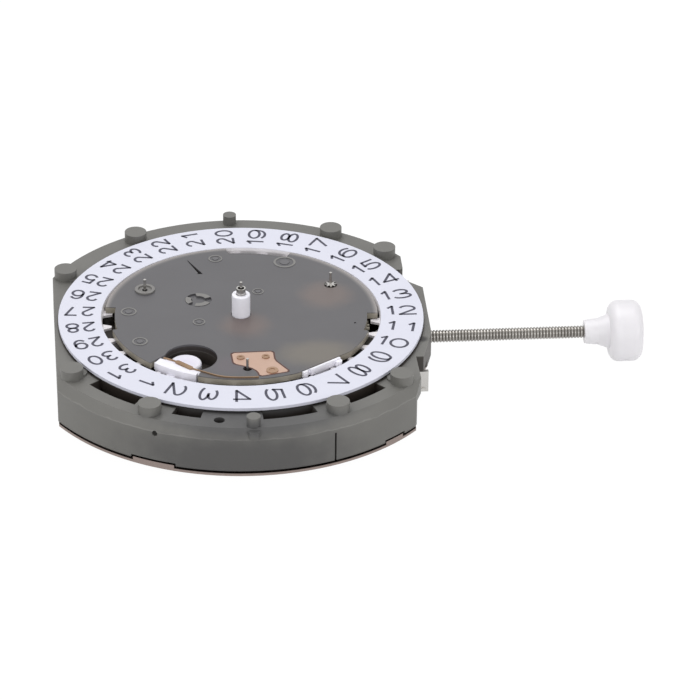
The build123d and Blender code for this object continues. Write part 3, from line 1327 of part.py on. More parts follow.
# White tip that the stem is screwed into: a hub that flares to a round disc
tip_hub_shares = [(0, 0), (0, 0.92), (0.15, 1), (0.40, 1.05)]
tip_round_share = 0.30
with BuildPart() as stem_tip:
    disc_x = tip_end_x - tip_thickness
    hub_points = [(thread_end_x + along * tip_thickness, out * tip_hub_radius)
                  for along, out in tip_hub_shares]
    with BuildSketch(stem_plane):
        with BuildLine():
            Polyline(*hub_points, (disc_x, tip_flare_radius), (disc_x, tip_radius),
                     (tip_end_x, tip_radius), (tip_end_x, 0), close=True)
        make_face()
    revolve(axis=stem_axis)
    rims = stem_tip.edges().filter_by(GeomType.CIRCLE).sort_by(SortBy.RADIUS)[-2:]
    fillet(rims, tip_thickness * tip_round_share)
    with BuildSketch(Plane.YZ.offset(thread_end_x - cut_overrun)):
        with Locations((0, stem_z)):
            Circle(thread_radius + seat_fit)
    extrude(amount=stem_screw_end_x - thread_end_x + cut_overrun, mode=Mode.SUBTRACT)
save(stem_tip, "stem_tip")

# Setting lever below the stem, with a pin in its groove
with BuildPart() as setting_lever:
    disc(setting_lever_pivot, setting_lever_z, lever_thickness, lever_hub_radius)
    bar(setting_lever_pivot, (groove_middle_x, 0), lever_width, setting_lever_z, lever_thickness)
    disc((groove_middle_x, 0), setting_lever_z,
         stem_z - (stem_radius + stem_groove_radius) / 2 - setting_lever_z, pin_radius)
    disc(setting_lever_pivot, setting_lever_z - cut_overrun, 2 * cut_overrun + lever_thickness,
         lever_post_radius + running_fit, mode=Mode.SUBTRACT)
save(setting_lever, "setting_lever")

# Yoke with its end in the groove of the clutch wheel
yoke_width = 0.24
fork_x = clutch_end_x - clutch_end_width - yoke_width
with BuildPart() as yoke:
    disc(yoke_pivot, level_2_z, lever_thickness, lever_hub_radius)
    bar(yoke_pivot, (fork_x, -clutch_groove_radius - lever_thickness), yoke_width, level_2_z,
        lever_thickness)
    disc(yoke_pivot, level_2_z - cut_overrun, 2 * cut_overrun + lever_thickness,
         lever_post_radius + running_fit, mode=Mode.SUBTRACT)
save(yoke, "yoke")

# Pusher levers for start-stop and reset, each with a tab outside the works: the start lever's
# tab faces its pusher, the reset lever's stands below the edge of the deck
start_tab_size = (0.45, 0.80)
start_tab_height = 2.20
start_tab_gap = 0.70
start_tab_shift = 0.08
reset_tab_size = (0.88, 0.30)
reset_tab_gap = 0.56
push_hub_share = 0.75
for name, pivot, side, size, gap, shift, height in (
        ("start", start_pivot, -1, start_tab_size, start_tab_gap, start_tab_shift, start_tab_height),
        ("reset", reset_pivot, 1, reset_tab_size, reset_tab_gap, 0, web_z - guard_gap - tab_z)):
    middle_y = pivot[1] + side * push_reach
    elbow = (push_pivot_x + lever_width / 2, middle_y)
    tab_x = recess_floor + gap + size[0] / 2
    with BuildPart() as lever:
        disc(pivot, push_lever_z, lever_thickness, lever_hub_radius * push_hub_share)
        bar(pivot, elbow, lever_width, push_lever_z, lever_thickness)
        bar(elbow, (tab_x, middle_y), lever_width, push_lever_z, lever_thickness)
        with BuildSketch(Plane.XY.offset(tab_z)):
            with Locations((tab_x, middle_y + shift)):
                Rectangle(*size)
        extrude(amount=height)
        disc(pivot, push_lever_z - cut_overrun, 2 * cut_overrun + lever_thickness,
             lever_post_radius + running_fit, mode=Mode.SUBTRACT)
    save(lever, name + "_lever")
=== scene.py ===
import bpy
import numpy as np
from mathutils import Matrix, Vector


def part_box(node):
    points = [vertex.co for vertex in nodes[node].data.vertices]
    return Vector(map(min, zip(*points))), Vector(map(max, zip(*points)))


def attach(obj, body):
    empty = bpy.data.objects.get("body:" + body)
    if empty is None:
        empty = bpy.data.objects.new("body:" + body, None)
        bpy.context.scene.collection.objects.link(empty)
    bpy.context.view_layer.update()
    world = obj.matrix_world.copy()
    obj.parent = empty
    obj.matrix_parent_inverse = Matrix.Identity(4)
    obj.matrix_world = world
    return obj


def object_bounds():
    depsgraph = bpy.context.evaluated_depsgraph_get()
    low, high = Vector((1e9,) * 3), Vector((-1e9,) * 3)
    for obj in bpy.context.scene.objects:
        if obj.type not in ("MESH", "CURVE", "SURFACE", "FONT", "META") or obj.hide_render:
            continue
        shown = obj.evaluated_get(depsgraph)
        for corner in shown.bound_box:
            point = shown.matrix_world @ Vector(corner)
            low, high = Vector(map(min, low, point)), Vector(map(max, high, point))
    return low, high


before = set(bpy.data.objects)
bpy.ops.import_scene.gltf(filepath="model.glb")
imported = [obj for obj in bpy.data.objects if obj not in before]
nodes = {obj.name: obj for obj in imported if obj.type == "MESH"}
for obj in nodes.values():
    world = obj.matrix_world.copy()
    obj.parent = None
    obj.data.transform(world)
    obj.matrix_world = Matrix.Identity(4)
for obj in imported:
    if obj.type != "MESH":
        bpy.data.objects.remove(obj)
boxAtLoad = [list(corner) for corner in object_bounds()]
mm = 0.001
print("movement loaded:", len(nodes), "pieces")


def tone(red, green, blue):
    # screen colour from 0 to 255 to the linear value that the shader wants, by the usual screen curve
    screen = np.array([red, green, blue]) / 255
    linear = np.where(screen <= 0.04045, screen / 12.92, ((screen + 0.055) / 1.055) ** 2.4)
    return (*linear, 1)


def put(tree, kind, settings=None, **sockets):
    # adds a node; sockets are values or other nodes' outputs, and i0, i1 are inputs by number
    node = tree.nodes.new(kind)
    for key, value in (settings or {}).items():
        setattr(node, key, value)
    for key, value in sockets.items():
        socket = node.inputs[int(key[1:])] if key[0] == "i" and key[1:].isdigit() else node.inputs[key]
        if isinstance(value, bpy.types.NodeSocket):
            tree.links.new(value, socket)
        else:
            socket.default_value = value
    return node


def mathNode(tree, operation, first, second=0.0):
    return put(tree, "ShaderNodeMath", {"operation": operation}, i0=first, i1=second).outputs[0]


def vectorNode(tree, operation, first, second=(0, 0, 0)):
    return put(tree, "ShaderNodeVectorMath", {"operation": operation}, i0=first, i1=second)


def mixColours(tree, factor, first, second):
    return put(tree, "ShaderNodeMix", {"data_type": "RGBA"}, i0=factor, i6=first, i7=second).outputs[2]


def spread(tree, value, first, last):
    # a value from 0 to 1 carried over to the range from first to last
    return put(tree, "ShaderNodeMapRange", i0=value, i1=0.0, i2=1.0, i3=first, i4=last).outputs[0]


def softEdge(tree, value, low, high, first, last):
    # first below low, last above high, and a smooth change between them
    return put(tree, "ShaderNodeMapRange", {"interpolation_type": "SMOOTHSTEP"}, i0=value, i1=low, i2=high,
               i3=first, i4=last).outputs[0]


def noiseOf(tree, place, scale, detail):
    return put(tree, "ShaderNodeTexNoise", Vector=place, Scale=scale, Detail=detail).outputs["Fac"]


# Node groups that several finishes share

def newGroup(name, inputs, outputs):
    # inputs are names with their first values: one number, or three for a vector
    group = bpy.data.node_groups.new(name, "ShaderNodeTree")
    for label, value in inputs.items():
        kind = "NodeSocketVector" if isinstance(value, tuple) else "NodeSocketFloat"
        group.interface.new_socket(label, in_out="INPUT", socket_type=kind).default_value = value
    for label in outputs:
        group.interface.new_socket(label, in_out="OUTPUT", socket_type="NodeSocketFloat")
    start = group.nodes.new("NodeGroupInput").outputs
    end = group.nodes.new("NodeGroupOutput").inputs
    place = put(group, "ShaderNodeTexCoord").outputs["Object"]
    return group, start, end, place


def wander(tree, place, width, settings):
    # noise around nought, that pushes an edge in and out
    noise = noiseOf(tree, place, settings["noiseScale"], settings["noiseDetail"])
    return mathNode(tree, "MULTIPLY", mathNode(tree, "SUBTRACT", noise, 0.5), width)


grainSettings = {"coarseDetail": 3.0, "fineDetail": 2.0}


def makeGrain(settings):
    # fine moulded or rolled surface: a coarse noise as mask and a fine one as height
    group, start, end, place = newGroup("surfaceGrain", {"Coarse Scale": 300.0, "Fine Scale": 9000.0},
                                        ("Mask", "Height"))
    group.links.new(noiseOf(group, place, start["Coarse Scale"], settings["coarseDetail"]), end["Mask"])
    group.links.new(noiseOf(group, place, start["Fine Scale"], settings["fineDetail"]), end["Height"])
    return group


patchSettings = {"core": 0.3, "noiseScale": 900.0, "noiseDetail": 3.0}


def makePatch(settings):
    # soft round patch, for stains and painted shade: distance from the centre as a share of the radius, 1 in the
    # core and 0 past the radius
    group, start, end, place = newGroup("softPatch", {"Centre": (0, 0, 0), "Stretch": (1, 1, 1), "Radius": 0.002,
                                                      "Ragged": 0.3}, ("Mask",))
    away = vectorNode(group, "SUBTRACT", place, start["Centre"]).outputs[0]
    stretched = vectorNode(group, "MULTIPLY", away, start["Stretch"]).outputs[0]
    length = vectorNode(group, "LENGTH", stretched).outputs["Value"]
    share = mathNode(group, "DIVIDE", length, start["Radius"])
    share = mathNode(group, "ADD", share, wander(group, place, start["Ragged"], settings))
    group.links.new(softEdge(group, share, settings["core"], 1.0, 1.0, 0.0), end["Mask"])
    return group


brushSettings = {"scale": 2000.0, "detail": 3.0}


def makeBrushing(settings):
    # straight lines along X: noise on coordinates squeezed across the lines
    group, start, end, place = newGroup("brushedLines", {"Squeeze": (1, 20, 20)}, ("Mask",))
    squeezed = vectorNode(group, "MULTIPLY", place, start["Squeeze"]).outputs[0]
    group.links.new(noiseOf(group, squeezed, settings["scale"], settings["detail"]), end["Mask"])
    return group


zoneSettings = {"noiseScale": 1300.0, "noiseDetail": 4.0}


def makeZone(settings):
    # 1 between two distances from the Z axis and between two heights, with soft and ragged edges
    group, start, end, place = newGroup("turnedZone", {"Inner": 0.0, "Outer": 0.02, "Low": 0.0, "High": 0.01,
                                                       "Soft": 0.00004, "Ragged": 0.0}, ("Mask",))
    across, along, up = put(group, "ShaderNodeSeparateXYZ", i0=place).outputs
    push = wander(group, place, start["Ragged"], settings)
    squares = mathNode(group, "ADD", mathNode(group, "MULTIPLY", across, across),
                       mathNode(group, "MULTIPLY", along, along))
    radius = mathNode(group, "ADD", mathNode(group, "SQRT", squares), push)
    height = mathNode(group, "ADD", up, push)
    mask = 1.0
    for value, limit, first, last in ((radius, "Inner", 0.0, 1.0), (radius, "Outer", 1.0, 0.0),
                                      (height, "Low", 0.0, 1.0), (height, "High", 1.0, 0.0)):
        low = mathNode(group, "SUBTRACT", start[limit], start["Soft"])
        high = mathNode(group, "ADD", start[limit], start["Soft"])
        mask = mathNode(group, "MULTIPLY", softEdge(group, value, low, high, first, last), mask)
    group.links.new(mask, end["Mask"])
    return group


grain, patch = makeGrain(grainSettings), makePatch(patchSettings)
brushing, zone = makeBrushing(brushSettings), makeZone(zoneSettings)
print("node groups made")


def useGroup(tree, group, **sockets):
    # places a group with its own values; an underscore stands for the space in a socket's name
    node = tree.nodes.new("ShaderNodeGroup")
    node.node_tree = group
    for key, value in sockets.items():
        node.inputs[key.replace("_", " ")].default_value = value
    return node.outputs


def startMaterial(name, constants):
    material = bpy.data.materials.new(name)
    material.use_nodes = True
    tree = material.node_tree
    shader = tree.nodes["Principled BSDF"]
    for key, value in constants.items():
        shader.inputs[key].default_value = value
    return material, tree, shader


def finish(name, settings):
    # one shader: two tones mixed by the grain or the brushing, zones and patches over them (stains, and painted
    # shade, light and reflection), its own roughness range and a fine bump. A zone's span is inner and outer
    # radius, low and high height in mm, -1 for none.
    material, tree, shader = startMaterial(name, settings.get("constants", {}))
    fine = useGroup(tree, grain, Coarse_Scale=settings["coarse"], Fine_Scale=settings["fine"])
    tones = fine["Mask"]
    if "brush" in settings:
        tones = useGroup(tree, brushing, Squeeze=settings["brush"])["Mask"]
    colour = mixColours(tree, tones, settings["colour"], settings["shade"])
    for part in settings.get("zones", ()):
        inner, outer, low, high = (value * mm for value in part["span"])
        mask = useGroup(tree, zone, Inner=inner, Outer=outer, Low=low, High=high,
                        Soft=part.get("soft", 0.04) * mm, Ragged=part.get("ragged", 0.0) * mm)["Mask"]
        colour = mixColours(tree, mathNode(tree, "MULTIPLY", mask, part["amount"]), colour, part["colour"])
    for stainAndShade in settings.get("stainsAndShade", ()):
        mask = useGroup(tree, patch, Centre=[value * mm for value in stainAndShade["at"]], Radius=stainAndShade["radius"] * mm,
                        Stretch=stainAndShade.get("stretch", (1, 1, 1)))["Mask"]
        colour = mixColours(tree, mathNode(tree, "MULTIPLY", mask, stainAndShade["amount"]), colour, stainAndShade["colour"])
    tree.links.new(colour, shader.inputs["Base Color"])
    tree.links.new(spread(tree, fine["Mask"], *settings["roughness"]), shader.inputs["Roughness"])
    bump = put(tree, "ShaderNodeBump", Strength=settings["bump"], Distance=settings["depth"], Height=fine["Height"])
    tree.links.new(bump.outputs[0], shader.inputs["Normal"])
    return material


def dress(material, *names):
    for name in names:
        slots = nodes[name].data.materials
        if slots:
            slots[0] = material
        else:
            slots.append(material)


motors = ("chrono", "time", "counter_left", "counter_right")


def perMotor(*endings):
    return [motor + ending for motor in motors for ending in endings]


# Frame: grey glass-filled plastic, with painted shade inside under the deck, under the ring's edge and in the
# windows, a painted highlight and scuffs along the crease, darker towards the bottom of the outer wall, and the
# stakes in the guard's grey
paintedShadeBrown = tone(46, 39, 34)
frameFinish = {"colour": tone(111, 110, 106), "shade": tone(101, 100, 97), "coarse": 260.0, "fine": 5200.0,
               "roughness": (0.40, 0.56), "bump": 0.25, "depth": 0.000012,
               "zones": (
                   # painted shade: the inside below the deck, the ledge under the ring's edge and the windows
                   {"span": (-1, 12.6, -1, 4.12), "amount": 0.9, "colour": paintedShadeBrown, "soft": 0.05},
                   {"span": (12.3, 13.01, -1, 4.7), "amount": 0.75, "colour": paintedShadeBrown, "soft": 0.05},
                   {"span": (12.6, 13.9, -1, 4.11), "amount": 0.85, "colour": paintedShadeBrown},
                   # painted highlight and scuffs along the crease
                   {"span": (15.1, 15.6, 3.43, 3.50), "amount": 0.22, "colour": tone(156, 154, 150),
                    "ragged": 0.3},
                   {"span": (14.0, 15.6, -1, 1.10), "amount": 0.4, "colour": tone(70, 66, 62), "soft": 0.06},
                   {"span": (-1, 9.3, 4.15, 6), "amount": 1.0, "colour": tone(97, 96, 99)}),
               "stainsAndShade": (
                   # painted shade on the front deck and on the left of the front wall, and a near-black painted
                   # shadow by the ring
                   {"at": (0.0, -14.4, 4.2), "radius": 8.5, "amount": 0.8, "colour": tone(78, 78, 79),
                    "stretch": (0.8, 1.6, 12)},
                   {"at": (-1.0, -15.2, 1.6), "radius": 9.0, "amount": 0.68, "colour": tone(56, 55, 57),
                    "stretch": (0.8, 1, 2.6)},
                   {"at": (12.6, -3.55, 4.2), "radius": 0.55, "amount": 0.9, "colour": tone(24, 22, 22)}),
               "constants": {"Specular IOR Level": 0.45}}
dress(finish("framePlastic", frameFinish), "main_frame")

# Guard: cooler grey with brownish stains, painted light on its paler side wall, a painted reflection of the ring
# towards its edge, painted shade in its openings, and lighter on what stands above its top
guardTop = 4.63
guardFinish = {"colour": tone(88, 87, 90), "shade": tone(81, 80, 83), "coarse": 220.0, "fine": 6000.0,
               "roughness": (0.32, 0.45), "bump": 0.15, "depth": 0.000008,
               "zones": (
                   # painted light: the side wall lighter than the top
                   {"span": (8.8, 11, -1, 4.58), "amount": 0.9, "colour": tone(152, 146, 132), "soft": 0.03},
                   # painted shade in the openings
                   {"span": (-1, 8.8, -1, 4.49), "amount": 0.85, "colour": paintedShadeBrown, "soft": 0.02},
                   # painted reflection of the white ring towards the edge
                   {"span": (9.55, 11, 4.5, 5), "amount": 0.55, "colour": tone(214, 206, 200), "soft": 0.3},
                   {"span": (-1, 9.2, guardTop + 0.02, 6), "amount": 0.6, "colour": tone(136, 134, 130),
                    "soft": 0.01}),
               "stainsAndShade": (
                   {"at": (5.0, -5.9, 4.6), "radius": 3.0, "amount": 0.5, "colour": tone(126, 118, 104),
                    "stretch": (0.8, 1.2, 1)},
                   {"at": (0.2, -1.6, 4.6), "radius": 2.4, "amount": 0.5, "colour": tone(116, 98, 90)},
                   {"at": (6.2, 2.4, 4.6), "radius": 2.6, "amount": 0.5, "colour": tone(120, 104, 96)},
                   {"at": (-1.2, -7.2, 4.5), "radius": 1.6, "amount": 0.3, "colour": tone(104, 90, 98)}),
               "constants": {"Specular IOR Level": 0.5}}
dress(finish("guardPlastic", guardFinish), "date_guard")

# Date ring, jumper, corrector, hour sleeve and stem tip: white mouldings
ringFinish = {"colour": tone(218, 219, 231), "shade": tone(212, 213, 226), "coarse": 400.0, "fine": 5000.0,
              "roughness": (0.35, 0.45), "bump": 0.06, "depth": 0.000005,
              # painted light: the inner edge and the teeth below the top lighter than the top
              "zones": ({"span": (9.0, 9.92, -1, 4.54), "amount": 0.8, "colour": tone(240, 236, 238)},),
              "constants": {"Specular IOR Level": 0.4}}
dress(finish("ringPlastic", ringFinish), "date_ring")
whiteFinish = {"colour": tone(243, 242, 250), "shade": tone(237, 236, 246), "coarse": 500.0, "fine": 5000.0,
               "roughness": (0.28, 0.4), "bump": 0.08, "depth": 0.000005,
               # darker lavender on the jumper's hub
               "stainsAndShade": ({"at": (-4.2, -5.75, 5.0), "radius": 1.6, "amount": 0.6, "colour": tone(212, 204, 226)},),
               "constants": {"Subsurface Weight": 0.2, "Subsurface Radius": (0.0006, 0.0006, 0.0006),
                             "Subsurface Scale": 1.0}}
dress(finish("whitePlastic", whiteFinish), "date_jumper", "date_corrector", "hour_wheel")
tipFinish = {**whiteFinish, "colour": tone(230, 228, 231), "shade": tone(222, 220, 224), "stainsAndShade": ()}
dress(finish("tipPlastic", tipFinish), "stem_tip")

# Metals
steelFinish = {"colour": tone(205, 203, 200), "shade": tone(180, 178, 175), "coarse": 900.0, "fine": 8000.0,
               "roughness": (0.2, 0.32), "bump": 0.05, "depth": 0.000004, "constants": {"Metallic": 1.0}}
dress(finish("polishedSteel", steelFinish), "cannon_pinion", "cover_screws", "bridge_screws",
      "battery_clamp", "setting_lever", "yoke", "start_lever", "reset_lever", "clutch_wheel",
      *perMotor("_hand_wheel", "_rotor"))
stemFinish = {**steelFinish, "colour": tone(174, 171, 167), "shade": tone(142, 139, 135)}
dress(finish("stemSteel", stemFinish), "stem")
plateFinish = {"colour": tone(158, 147, 142), "shade": tone(128, 112, 106), "coarse": 500.0, "fine": 7000.0,
               "roughness": (0.25, 0.4), "bump": 0.08, "depth": 0.000005, "brush": (1, 12, 12),
               "constants": {"Metallic": 1.0}}
dress(finish("plateMetal", plateFinish), "back_plate", "back_cover", "train_bridge")
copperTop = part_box("contact_plate")[1].z / mm
copperFinish = {"colour": tone(196, 168, 152), "shade": tone(182, 152, 135), "coarse": 500.0, "fine": 7000.0,
                "roughness": (0.35, 0.45), "bump": 0.08, "depth": 0.000005,
                # dark brown below the contact plate's top: partly the cut edges' own colour and partly painted
                # shade
                "zones": ({"span": (-1, 20, -1, copperTop - 0.03), "amount": 0.75, "colour": tone(96, 56, 46),
                           "soft": 0.02},),
                "constants": {"Metallic": 0.85}}
dress(finish("copperSheet", copperFinish), "contact_plate", "battery_contact", *perMotor("_winding"))
springFinish = {**copperFinish, "colour": tone(176, 150, 122), "shade": tone(120, 92, 70)}
dress(finish("springWire", springFinish), "jumper_spring")
rivetFinish = {**copperFinish, "colour": tone(176, 146, 122), "shade": tone(140, 112, 92)}
dress(finish("rivetMetal", rivetFinish), "contact_rivets")
batteryFinish = {**steelFinish, "colour": tone(214, 213, 210), "shade": tone(196, 195, 192)}
dress(finish("batterySteel", batteryFinish), "battery", "quartz_crystal")

# Works inside
gearFinish = {"colour": tone(206, 200, 184), "shade": tone(190, 184, 168), "coarse": 600.0, "fine": 6000.0,
              "roughness": (0.4, 0.5), "bump": 0.1, "depth": 0.000005}
dress(finish("gearPlastic", gearFinish), "minute_wheel", "day_wheel", "setting_wheel", "third_wheel",
      "centre_wheel", *perMotor("_driver_wheel"))
ironFinish = {**steelFinish, "colour": tone(120, 120, 124), "shade": tone(100, 100, 104), "roughness": (0.4, 0.5)}
dress(finish("statorIron", ironFinish), *perMotor("_stator", "_coil_core"))
boardFinish = {**gearFinish, "colour": tone(42, 84, 58), "shade": tone(34, 70, 48), "roughness": (0.35, 0.5)}
dress(finish("boardLacquer", boardFinish), "circuit_board")
chipFinish = {**boardFinish, "colour": tone(36, 36, 38), "shade": tone(28, 28, 30)}
dress(finish("chipResin", chipFinish), "ic_chip")
print("finishes placed")


# Pieces that are drawn: ribbons lying flat on the solids

def addPiece(name, points, faces):
    mesh = bpy.data.meshes.new(name)
    mesh.from_pydata(points, [], faces)
    piece = bpy.data.objects.new(name, mesh)
    bpy.context.scene.collection.objects.link(piece)
    return piece


def flatPiece(name, flat, height, faces):
    # points in mm in the plane, all at one height
    points = np.column_stack([flat, np.full(len(flat), height)]) * mm
    return addPiece(name, points.tolist(), faces.tolist())


def unit(vectors):
    # each row divided by its own length, with a floor against a length of nought
    return vectors / np.maximum(np.linalg.norm(vectors, axis=1, keepdims=True), 1e-9)


def ribbon(line, width):
    # strip of quads: each point moved half a width to both sides along the averaged normal
    step = unit(np.diff(line, axis=0))
    before, after = np.vstack([step[:1], step]), np.vstack([step, step[-1:]])
    if np.allclose(line[0], line[-1]):
        before[0], after[-1] = step[-1], step[0]
    normalBefore = np.stack([-before[:, 1], before[:, 0]], axis=1)
    normalAfter = np.stack([-after[:, 1], after[:, 0]], axis=1)
    normal = normalBefore + normalAfter
    spikeLimit = 0.35
    normal /= np.maximum(np.sum(normal * normalBefore, axis=1, keepdims=True), spikeLimit)
    return np.concatenate([line - normal * width / 2, line + normal * width / 2])


def stripFaces(count, base=0):
    # quads between the two edges of a strip with that many points on each
    index = np.arange(count - 1)
    return np.stack([index, index + 1, index + count + 1, index + count], axis=1) + base


drawnFinish = {"coarse": 1500.0, "fine": 6000.0, "bump": 0.05, "depth": 0.000003}

# Painted shadow round the contact plate: a dark ribbon drawn on the guard where the gap lies in shade
contactShadowSettings = {"width": 0.12, "lift": 0.003, "corner": 0.2, "outline": (
    (-1.04, -5.44), (1.96, -5.38), (1.98, -6.62), (2.94, -8.27), (0.76, -8.83), (0.68, -8.14), (0.18, -7.54),
    (-0.96, -6.99))}
contactShadowFinish = {**drawnFinish, "colour": tone(84, 46, 38), "shade": tone(66, 38, 32), "roughness": (0.5, 0.6)}


def makeGroove(settings):
    # closed ribbon along the outline, each corner cut by a short slant
    corners = np.array(settings["outline"])
    before, after = unit(np.roll(corners, 1, axis=0) - corners), unit(np.roll(corners, -1, axis=0) - corners)
    slanted = np.stack([corners + before * settings["corner"], corners + after * settings["corner"]], axis=1)
    line = slanted.reshape(-1, 2)
    line = np.vstack([line, line[:1]])
    return flatPiece("contactShadowLine", ribbon(line, settings["width"]), guardTop + settings["lift"],
                     stripFaces(len(line)))


contactShadow = makeGroove(contactShadowSettings)
contactShadow.data.materials.append(finish("contactShadowPaint", contactShadowFinish))
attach(contactShadow, "movement")
print("groove drawn")

# Date numerals, drawn as strokes of one width: reading outwards, upright at 3 o'clock
numeralSettings = {"days": 31, "firstAngle": 232.0, "circle": 11.45, "sway": 0.13, "height": 1.36,
                   "stroke": 0.19, "lift": 0.006, "corner": 0.3, "sharpTurn": 0.5,
                   "single": 1.71, "paired": 1.40, "narrow": 0.99, "one": 0.55,
                   "gaps": {"1": 0.28, "2": 0.16, "3": 0.18}, "beforeOne": {"1": 0.58, "2": 0.22, "3": 0.18}}
inkFinish = {**drawnFinish, "colour": tone(50, 50, 66), "shade": tone(62, 62, 80), "roughness": (0.45, 0.55)}


def arc(centre, radii, start, end, steps=18):
    # points on an ellipse: centre plus radii times cosine and sine of the turning angle
    angles = np.radians(np.linspace(start, end, steps))
    return np.stack([centre[0] + radii[0] * np.cos(angles), centre[1] + radii[1] * np.sin(angles)], axis=1)


def digitStrokes():
    # each digit's centre line in a box one wide and one high; a nine is a six turned half round
    six = np.concatenate([arc((0.52, 0.58), (0.50, 0.42), 32, 180, 14), [(0.01, 0.33)]])
    bowl = arc((0.5, 0.33), (0.49, 0.33), 0, 360, 28)
    return {
        "0": [arc((0.5, 0.5), (0.5, 0.5), 0, 360, 32)],
        "1": [np.array([(0.0, 0.76), (0.97, 1.0), (0.97, 0.0)])],
        "2": [np.concatenate([arc((0.49, 0.71), (0.43, 0.29), 168, -30), [(0.0, 0.0), (1.0, 0.0)]])],
        "3": [np.concatenate([arc((0.46, 0.75), (0.42, 0.25), 155, -90), [(0.36, 0.50)]]),
              arc((0.46, 0.25), (0.52, 0.25), 90, -160)],
        "4": [np.array([(0.77, 0.0), (0.77, 1.0), (0.0, 0.20), (1.0, 0.20)])],
        "5": [np.concatenate([[(0.92, 1.0), (0.14, 1.0), (0.06, 0.50)],
                              arc((0.47, 0.31), (0.51, 0.31), 130, -158)])],
        "6": [six, bowl],
        "7": [np.array([(0.0, 1.0), (1.0, 1.0), (0.42, 0.0)])],
        "8": [arc((0.5, 0.765), (0.40, 0.235), -90, 270, 26), arc((0.5, 0.265), (0.50, 0.265), 90, 450, 28)],
        "9": [1 - six, 1 - bowl],
    }


def splitCorners(line, reach, sharpTurn):
    # cuts a stroke where the cosine of its turn is below sharpTurn; both ends reach past the corner
    step = unit(np.diff(line, axis=0))
    turns = np.sum(step[:-1] * step[1:], axis=1)
    cuts = [0, *(np.nonzero(turns < sharpTurn)[0] + 1), len(line) - 1]
    pieces = []
    for first, last in zip(cuts[:-1], cuts[1:]):
        piece = line[first:last + 1].copy()
        if first > 0:
            piece[0] -= step[first] * reach
        if last < len(line) - 1:
            piece[-1] += step[last - 1] * reach
        pieces.append(piece)
    return pieces


def layout(day, settings):
    # each digit with its place and width along the radius; one or two digits stand centred on their circle
    text, gap = str(day), 0
    wide = settings["paired"] if text[0] == "1" else settings["narrow"]
    if len(text) == 1:
        wide = settings["single"]
    elif text[1] == "1":
        gap = settings["gaps"][text[0]] + settings["beforeOne"][text[0]]
    else:
        gap = settings["gaps"][text[0]]
    widths = [settings["one"] if digit == "1" else wide for digit in text]
    start = -(sum(widths) + gap) / 2
    return list(zip(text, (start, start + widths[0] + gap), widths))


def makeNumerals(settings, ringTop):
    # a flat ribbon per stroke: across is radius outwards, up is the anticlockwise tangent
    digits, planes, faces, base = digitStrokes(), [], [], 0
    stroke = settings["stroke"]
    for day in range(1, settings["days"] + 1):
        angle = np.radians(settings["firstAngle"] + (day - 1) * 360 / settings["days"])
        outward, upward = np.array([np.cos(angle), np.sin(angle)]), np.array([-np.sin(angle), np.cos(angle)])
        middle = settings["circle"] + settings["sway"] * np.sin(angle)
        for digit, start, width in layout(day, settings):
            for shape in digits[digit]:
                line = (shape * [width - stroke, settings["height"] - stroke]
                        + [middle + start + stroke / 2, (stroke - settings["height"]) / 2])
                for piece in splitCorners(line, stroke * settings["corner"], settings["sharpTurn"]):
                    flat = ribbon(piece, stroke)
                    planes.append(flat[:, :1] * outward + flat[:, 1:] * upward)
                    faces.append(stripFaces(len(piece), base))
                    base += len(flat)
    return flatPiece("dateNumerals", np.concatenate(planes), ringTop + settings["lift"], np.concatenate(faces))


numerals = makeNumerals(numeralSettings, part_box("date_ring")[1].z / mm)
numerals.data.materials.append(finish("numeralInk", inkFinish))
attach(numerals, "date_ring")
print("numerals drawn")


# Floor and world: white for the camera, with a soft shadow left in

def backdropRays(tree):
    # 1 where the camera sees the backdrop straight, in a reflection or through glass
    rays = put(tree, "ShaderNodeLightPath").outputs
    either = mathNode(tree, "MAXIMUM", rays["Is Camera Ray"], rays["Is Glossy Ray"])
    return mathNode(tree, "MAXIMUM", either, rays["Is Transmission Ray"])


floorSettings = {"half": 0.6, "drop": 0.0002, "share": 0.92, "white": 1.06,
                 "constants": {"Base Color": (0.8, 0.8, 0.8, 1), "Roughness": 0.9}}
corners = floorSettings["half"] * np.array([(-1, -1, 0), (1, -1, 0), (1, 1, 0), (-1, 1, 0)])
floor = addPiece("studioFloor", corners.tolist(), [(0, 1, 2, 3)])
floor.location.z = boxAtLoad[0][2] - floorSettings["drop"]
floorMaterial, tree, shader = startMaterial("studioFloor", floorSettings["constants"])
glow = put(tree, "ShaderNodeEmission", Color=(1, 1, 1, 1), Strength=floorSettings["white"])
share = mathNode(tree, "MULTIPLY", backdropRays(tree), floorSettings["share"])
blend = put(tree, "ShaderNodeMixShader", i0=share, i1=shader.outputs[0], i2=glow.outputs[0])
tree.links.new(blend.outputs[0], tree.nodes["Material Output"].inputs["Surface"])
floor.data.materials.append(floorMaterial)

worldSettings = {"light": 0.58, "white": 1.0}
world = bpy.data.worlds.new("studioWorld")
bpy.context.scene.world = world
world.use_nodes = True
tree = world.node_tree
background = tree.nodes["Background"]
background.inputs["Color"].default_value = (1, 1, 1, 1)
strength = spread(tree, backdropRays(tree), worldSettings["light"], worldSettings["white"])
tree.links.new(strength, background.inputs["Strength"])

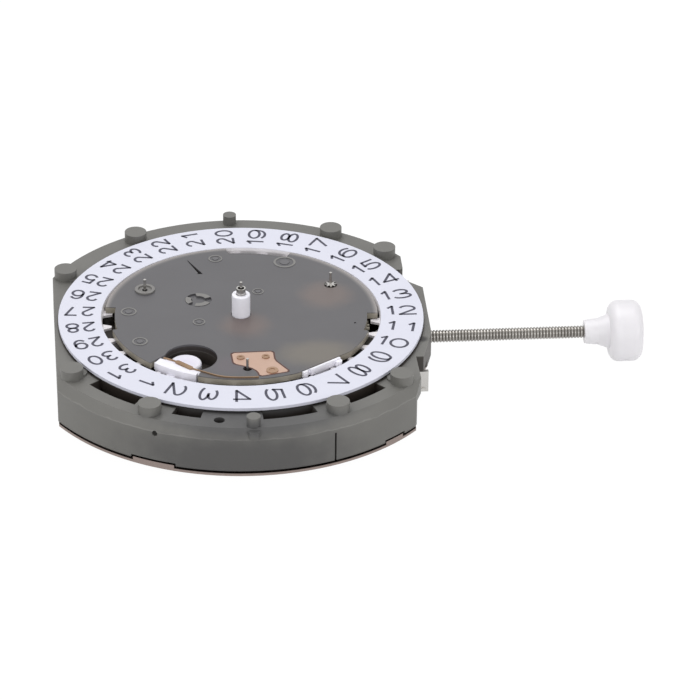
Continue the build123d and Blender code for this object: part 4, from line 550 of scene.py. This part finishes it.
# Soft boxes: one above and behind, one to each side and one low in front
lampSettings = (
    {"name": "overheadBox", "place": (-0.10, 0.15, 0.55), "size": 0.45, "power": 1.7},
    {"name": "rightBox", "place": (0.45, -0.36, 0.20), "size": 0.35, "power": 0.75},
    {"name": "leftBox", "place": (-0.48, -0.28, 0.24), "size": 0.35, "power": 0.55},
    {"name": "frontBox", "place": (-0.05, -0.62, 0.22), "size": 0.30, "power": 0.5},
)
for lamp in lampSettings:
    light = bpy.data.lights.new(lamp["name"], "AREA")
    light.shape = "SQUARE"
    light.size = lamp["size"]
    light.energy = lamp["power"]
    box = bpy.data.objects.new(lamp["name"], light)
    box.location = lamp["place"]
    box.rotation_euler = (-Vector(lamp["place"])).to_track_quat("-Z", "Y").to_euler()
    bpy.context.scene.collection.objects.link(box)
print("floor, world and lamps set")

# Camera at the photograph's angle: unit is the ring's radius in mm and distance counts in it, height is the
# ring's top in mm, and focal, offset and image are in pixels
cameraSettings = {"azimuth": -5.0, "elevation": 30.0676, "roll": 0.7058, "distance": 23.3416,
                  "focal": 4260.278, "offset": (241.045, 314.7625), "image": 700, "unit": 12.95,
                  "height": 4.56, "sensor": 36.0, "clip": (0.01, 5.0)}


def placeCamera(settings):
    # back, right and up from azimuth and elevation, turned by the roll; the offset moves the holder sideways
    azimuth, elevation, roll = np.radians([settings["azimuth"], settings["elevation"], settings["roll"]])
    back = np.array([np.sin(azimuth) * np.cos(elevation), -np.cos(azimuth) * np.cos(elevation),
                     np.sin(elevation)])
    right = np.array([np.cos(azimuth), np.sin(azimuth), 0])
    up = np.cross(back, right)
    across = np.cos(roll) * right + np.sin(roll) * up
    above = -np.sin(roll) * right + np.cos(roll) * up
    middle = settings["image"] / 2
    shiftX = (settings["offset"][0] - middle) / settings["focal"] * settings["distance"]
    shiftY = -(settings["offset"][1] - middle) / settings["focal"] * settings["distance"]
    place = (back * settings["distance"] - across * shiftX - above * shiftY) * settings["unit"]
    place[2] += settings["height"]
    camera = bpy.data.cameras.new("photoCamera")
    camera.sensor_width = settings["sensor"]
    camera.lens = settings["sensor"] * settings["focal"] / settings["image"]
    camera.clip_start, camera.clip_end = settings["clip"]
    holder = bpy.data.objects.new("photoCamera", camera)
    columns = np.column_stack([across, above, back, place * mm])
    holder.matrix_world = Matrix(np.vstack([columns, [0, 0, 0, 1]]).tolist())
    bpy.context.scene.collection.objects.link(holder)
    bpy.context.scene.camera = holder


placeCamera(cameraSettings)
bpy.context.scene.view_settings.view_transform = "Standard"
print("camera set")
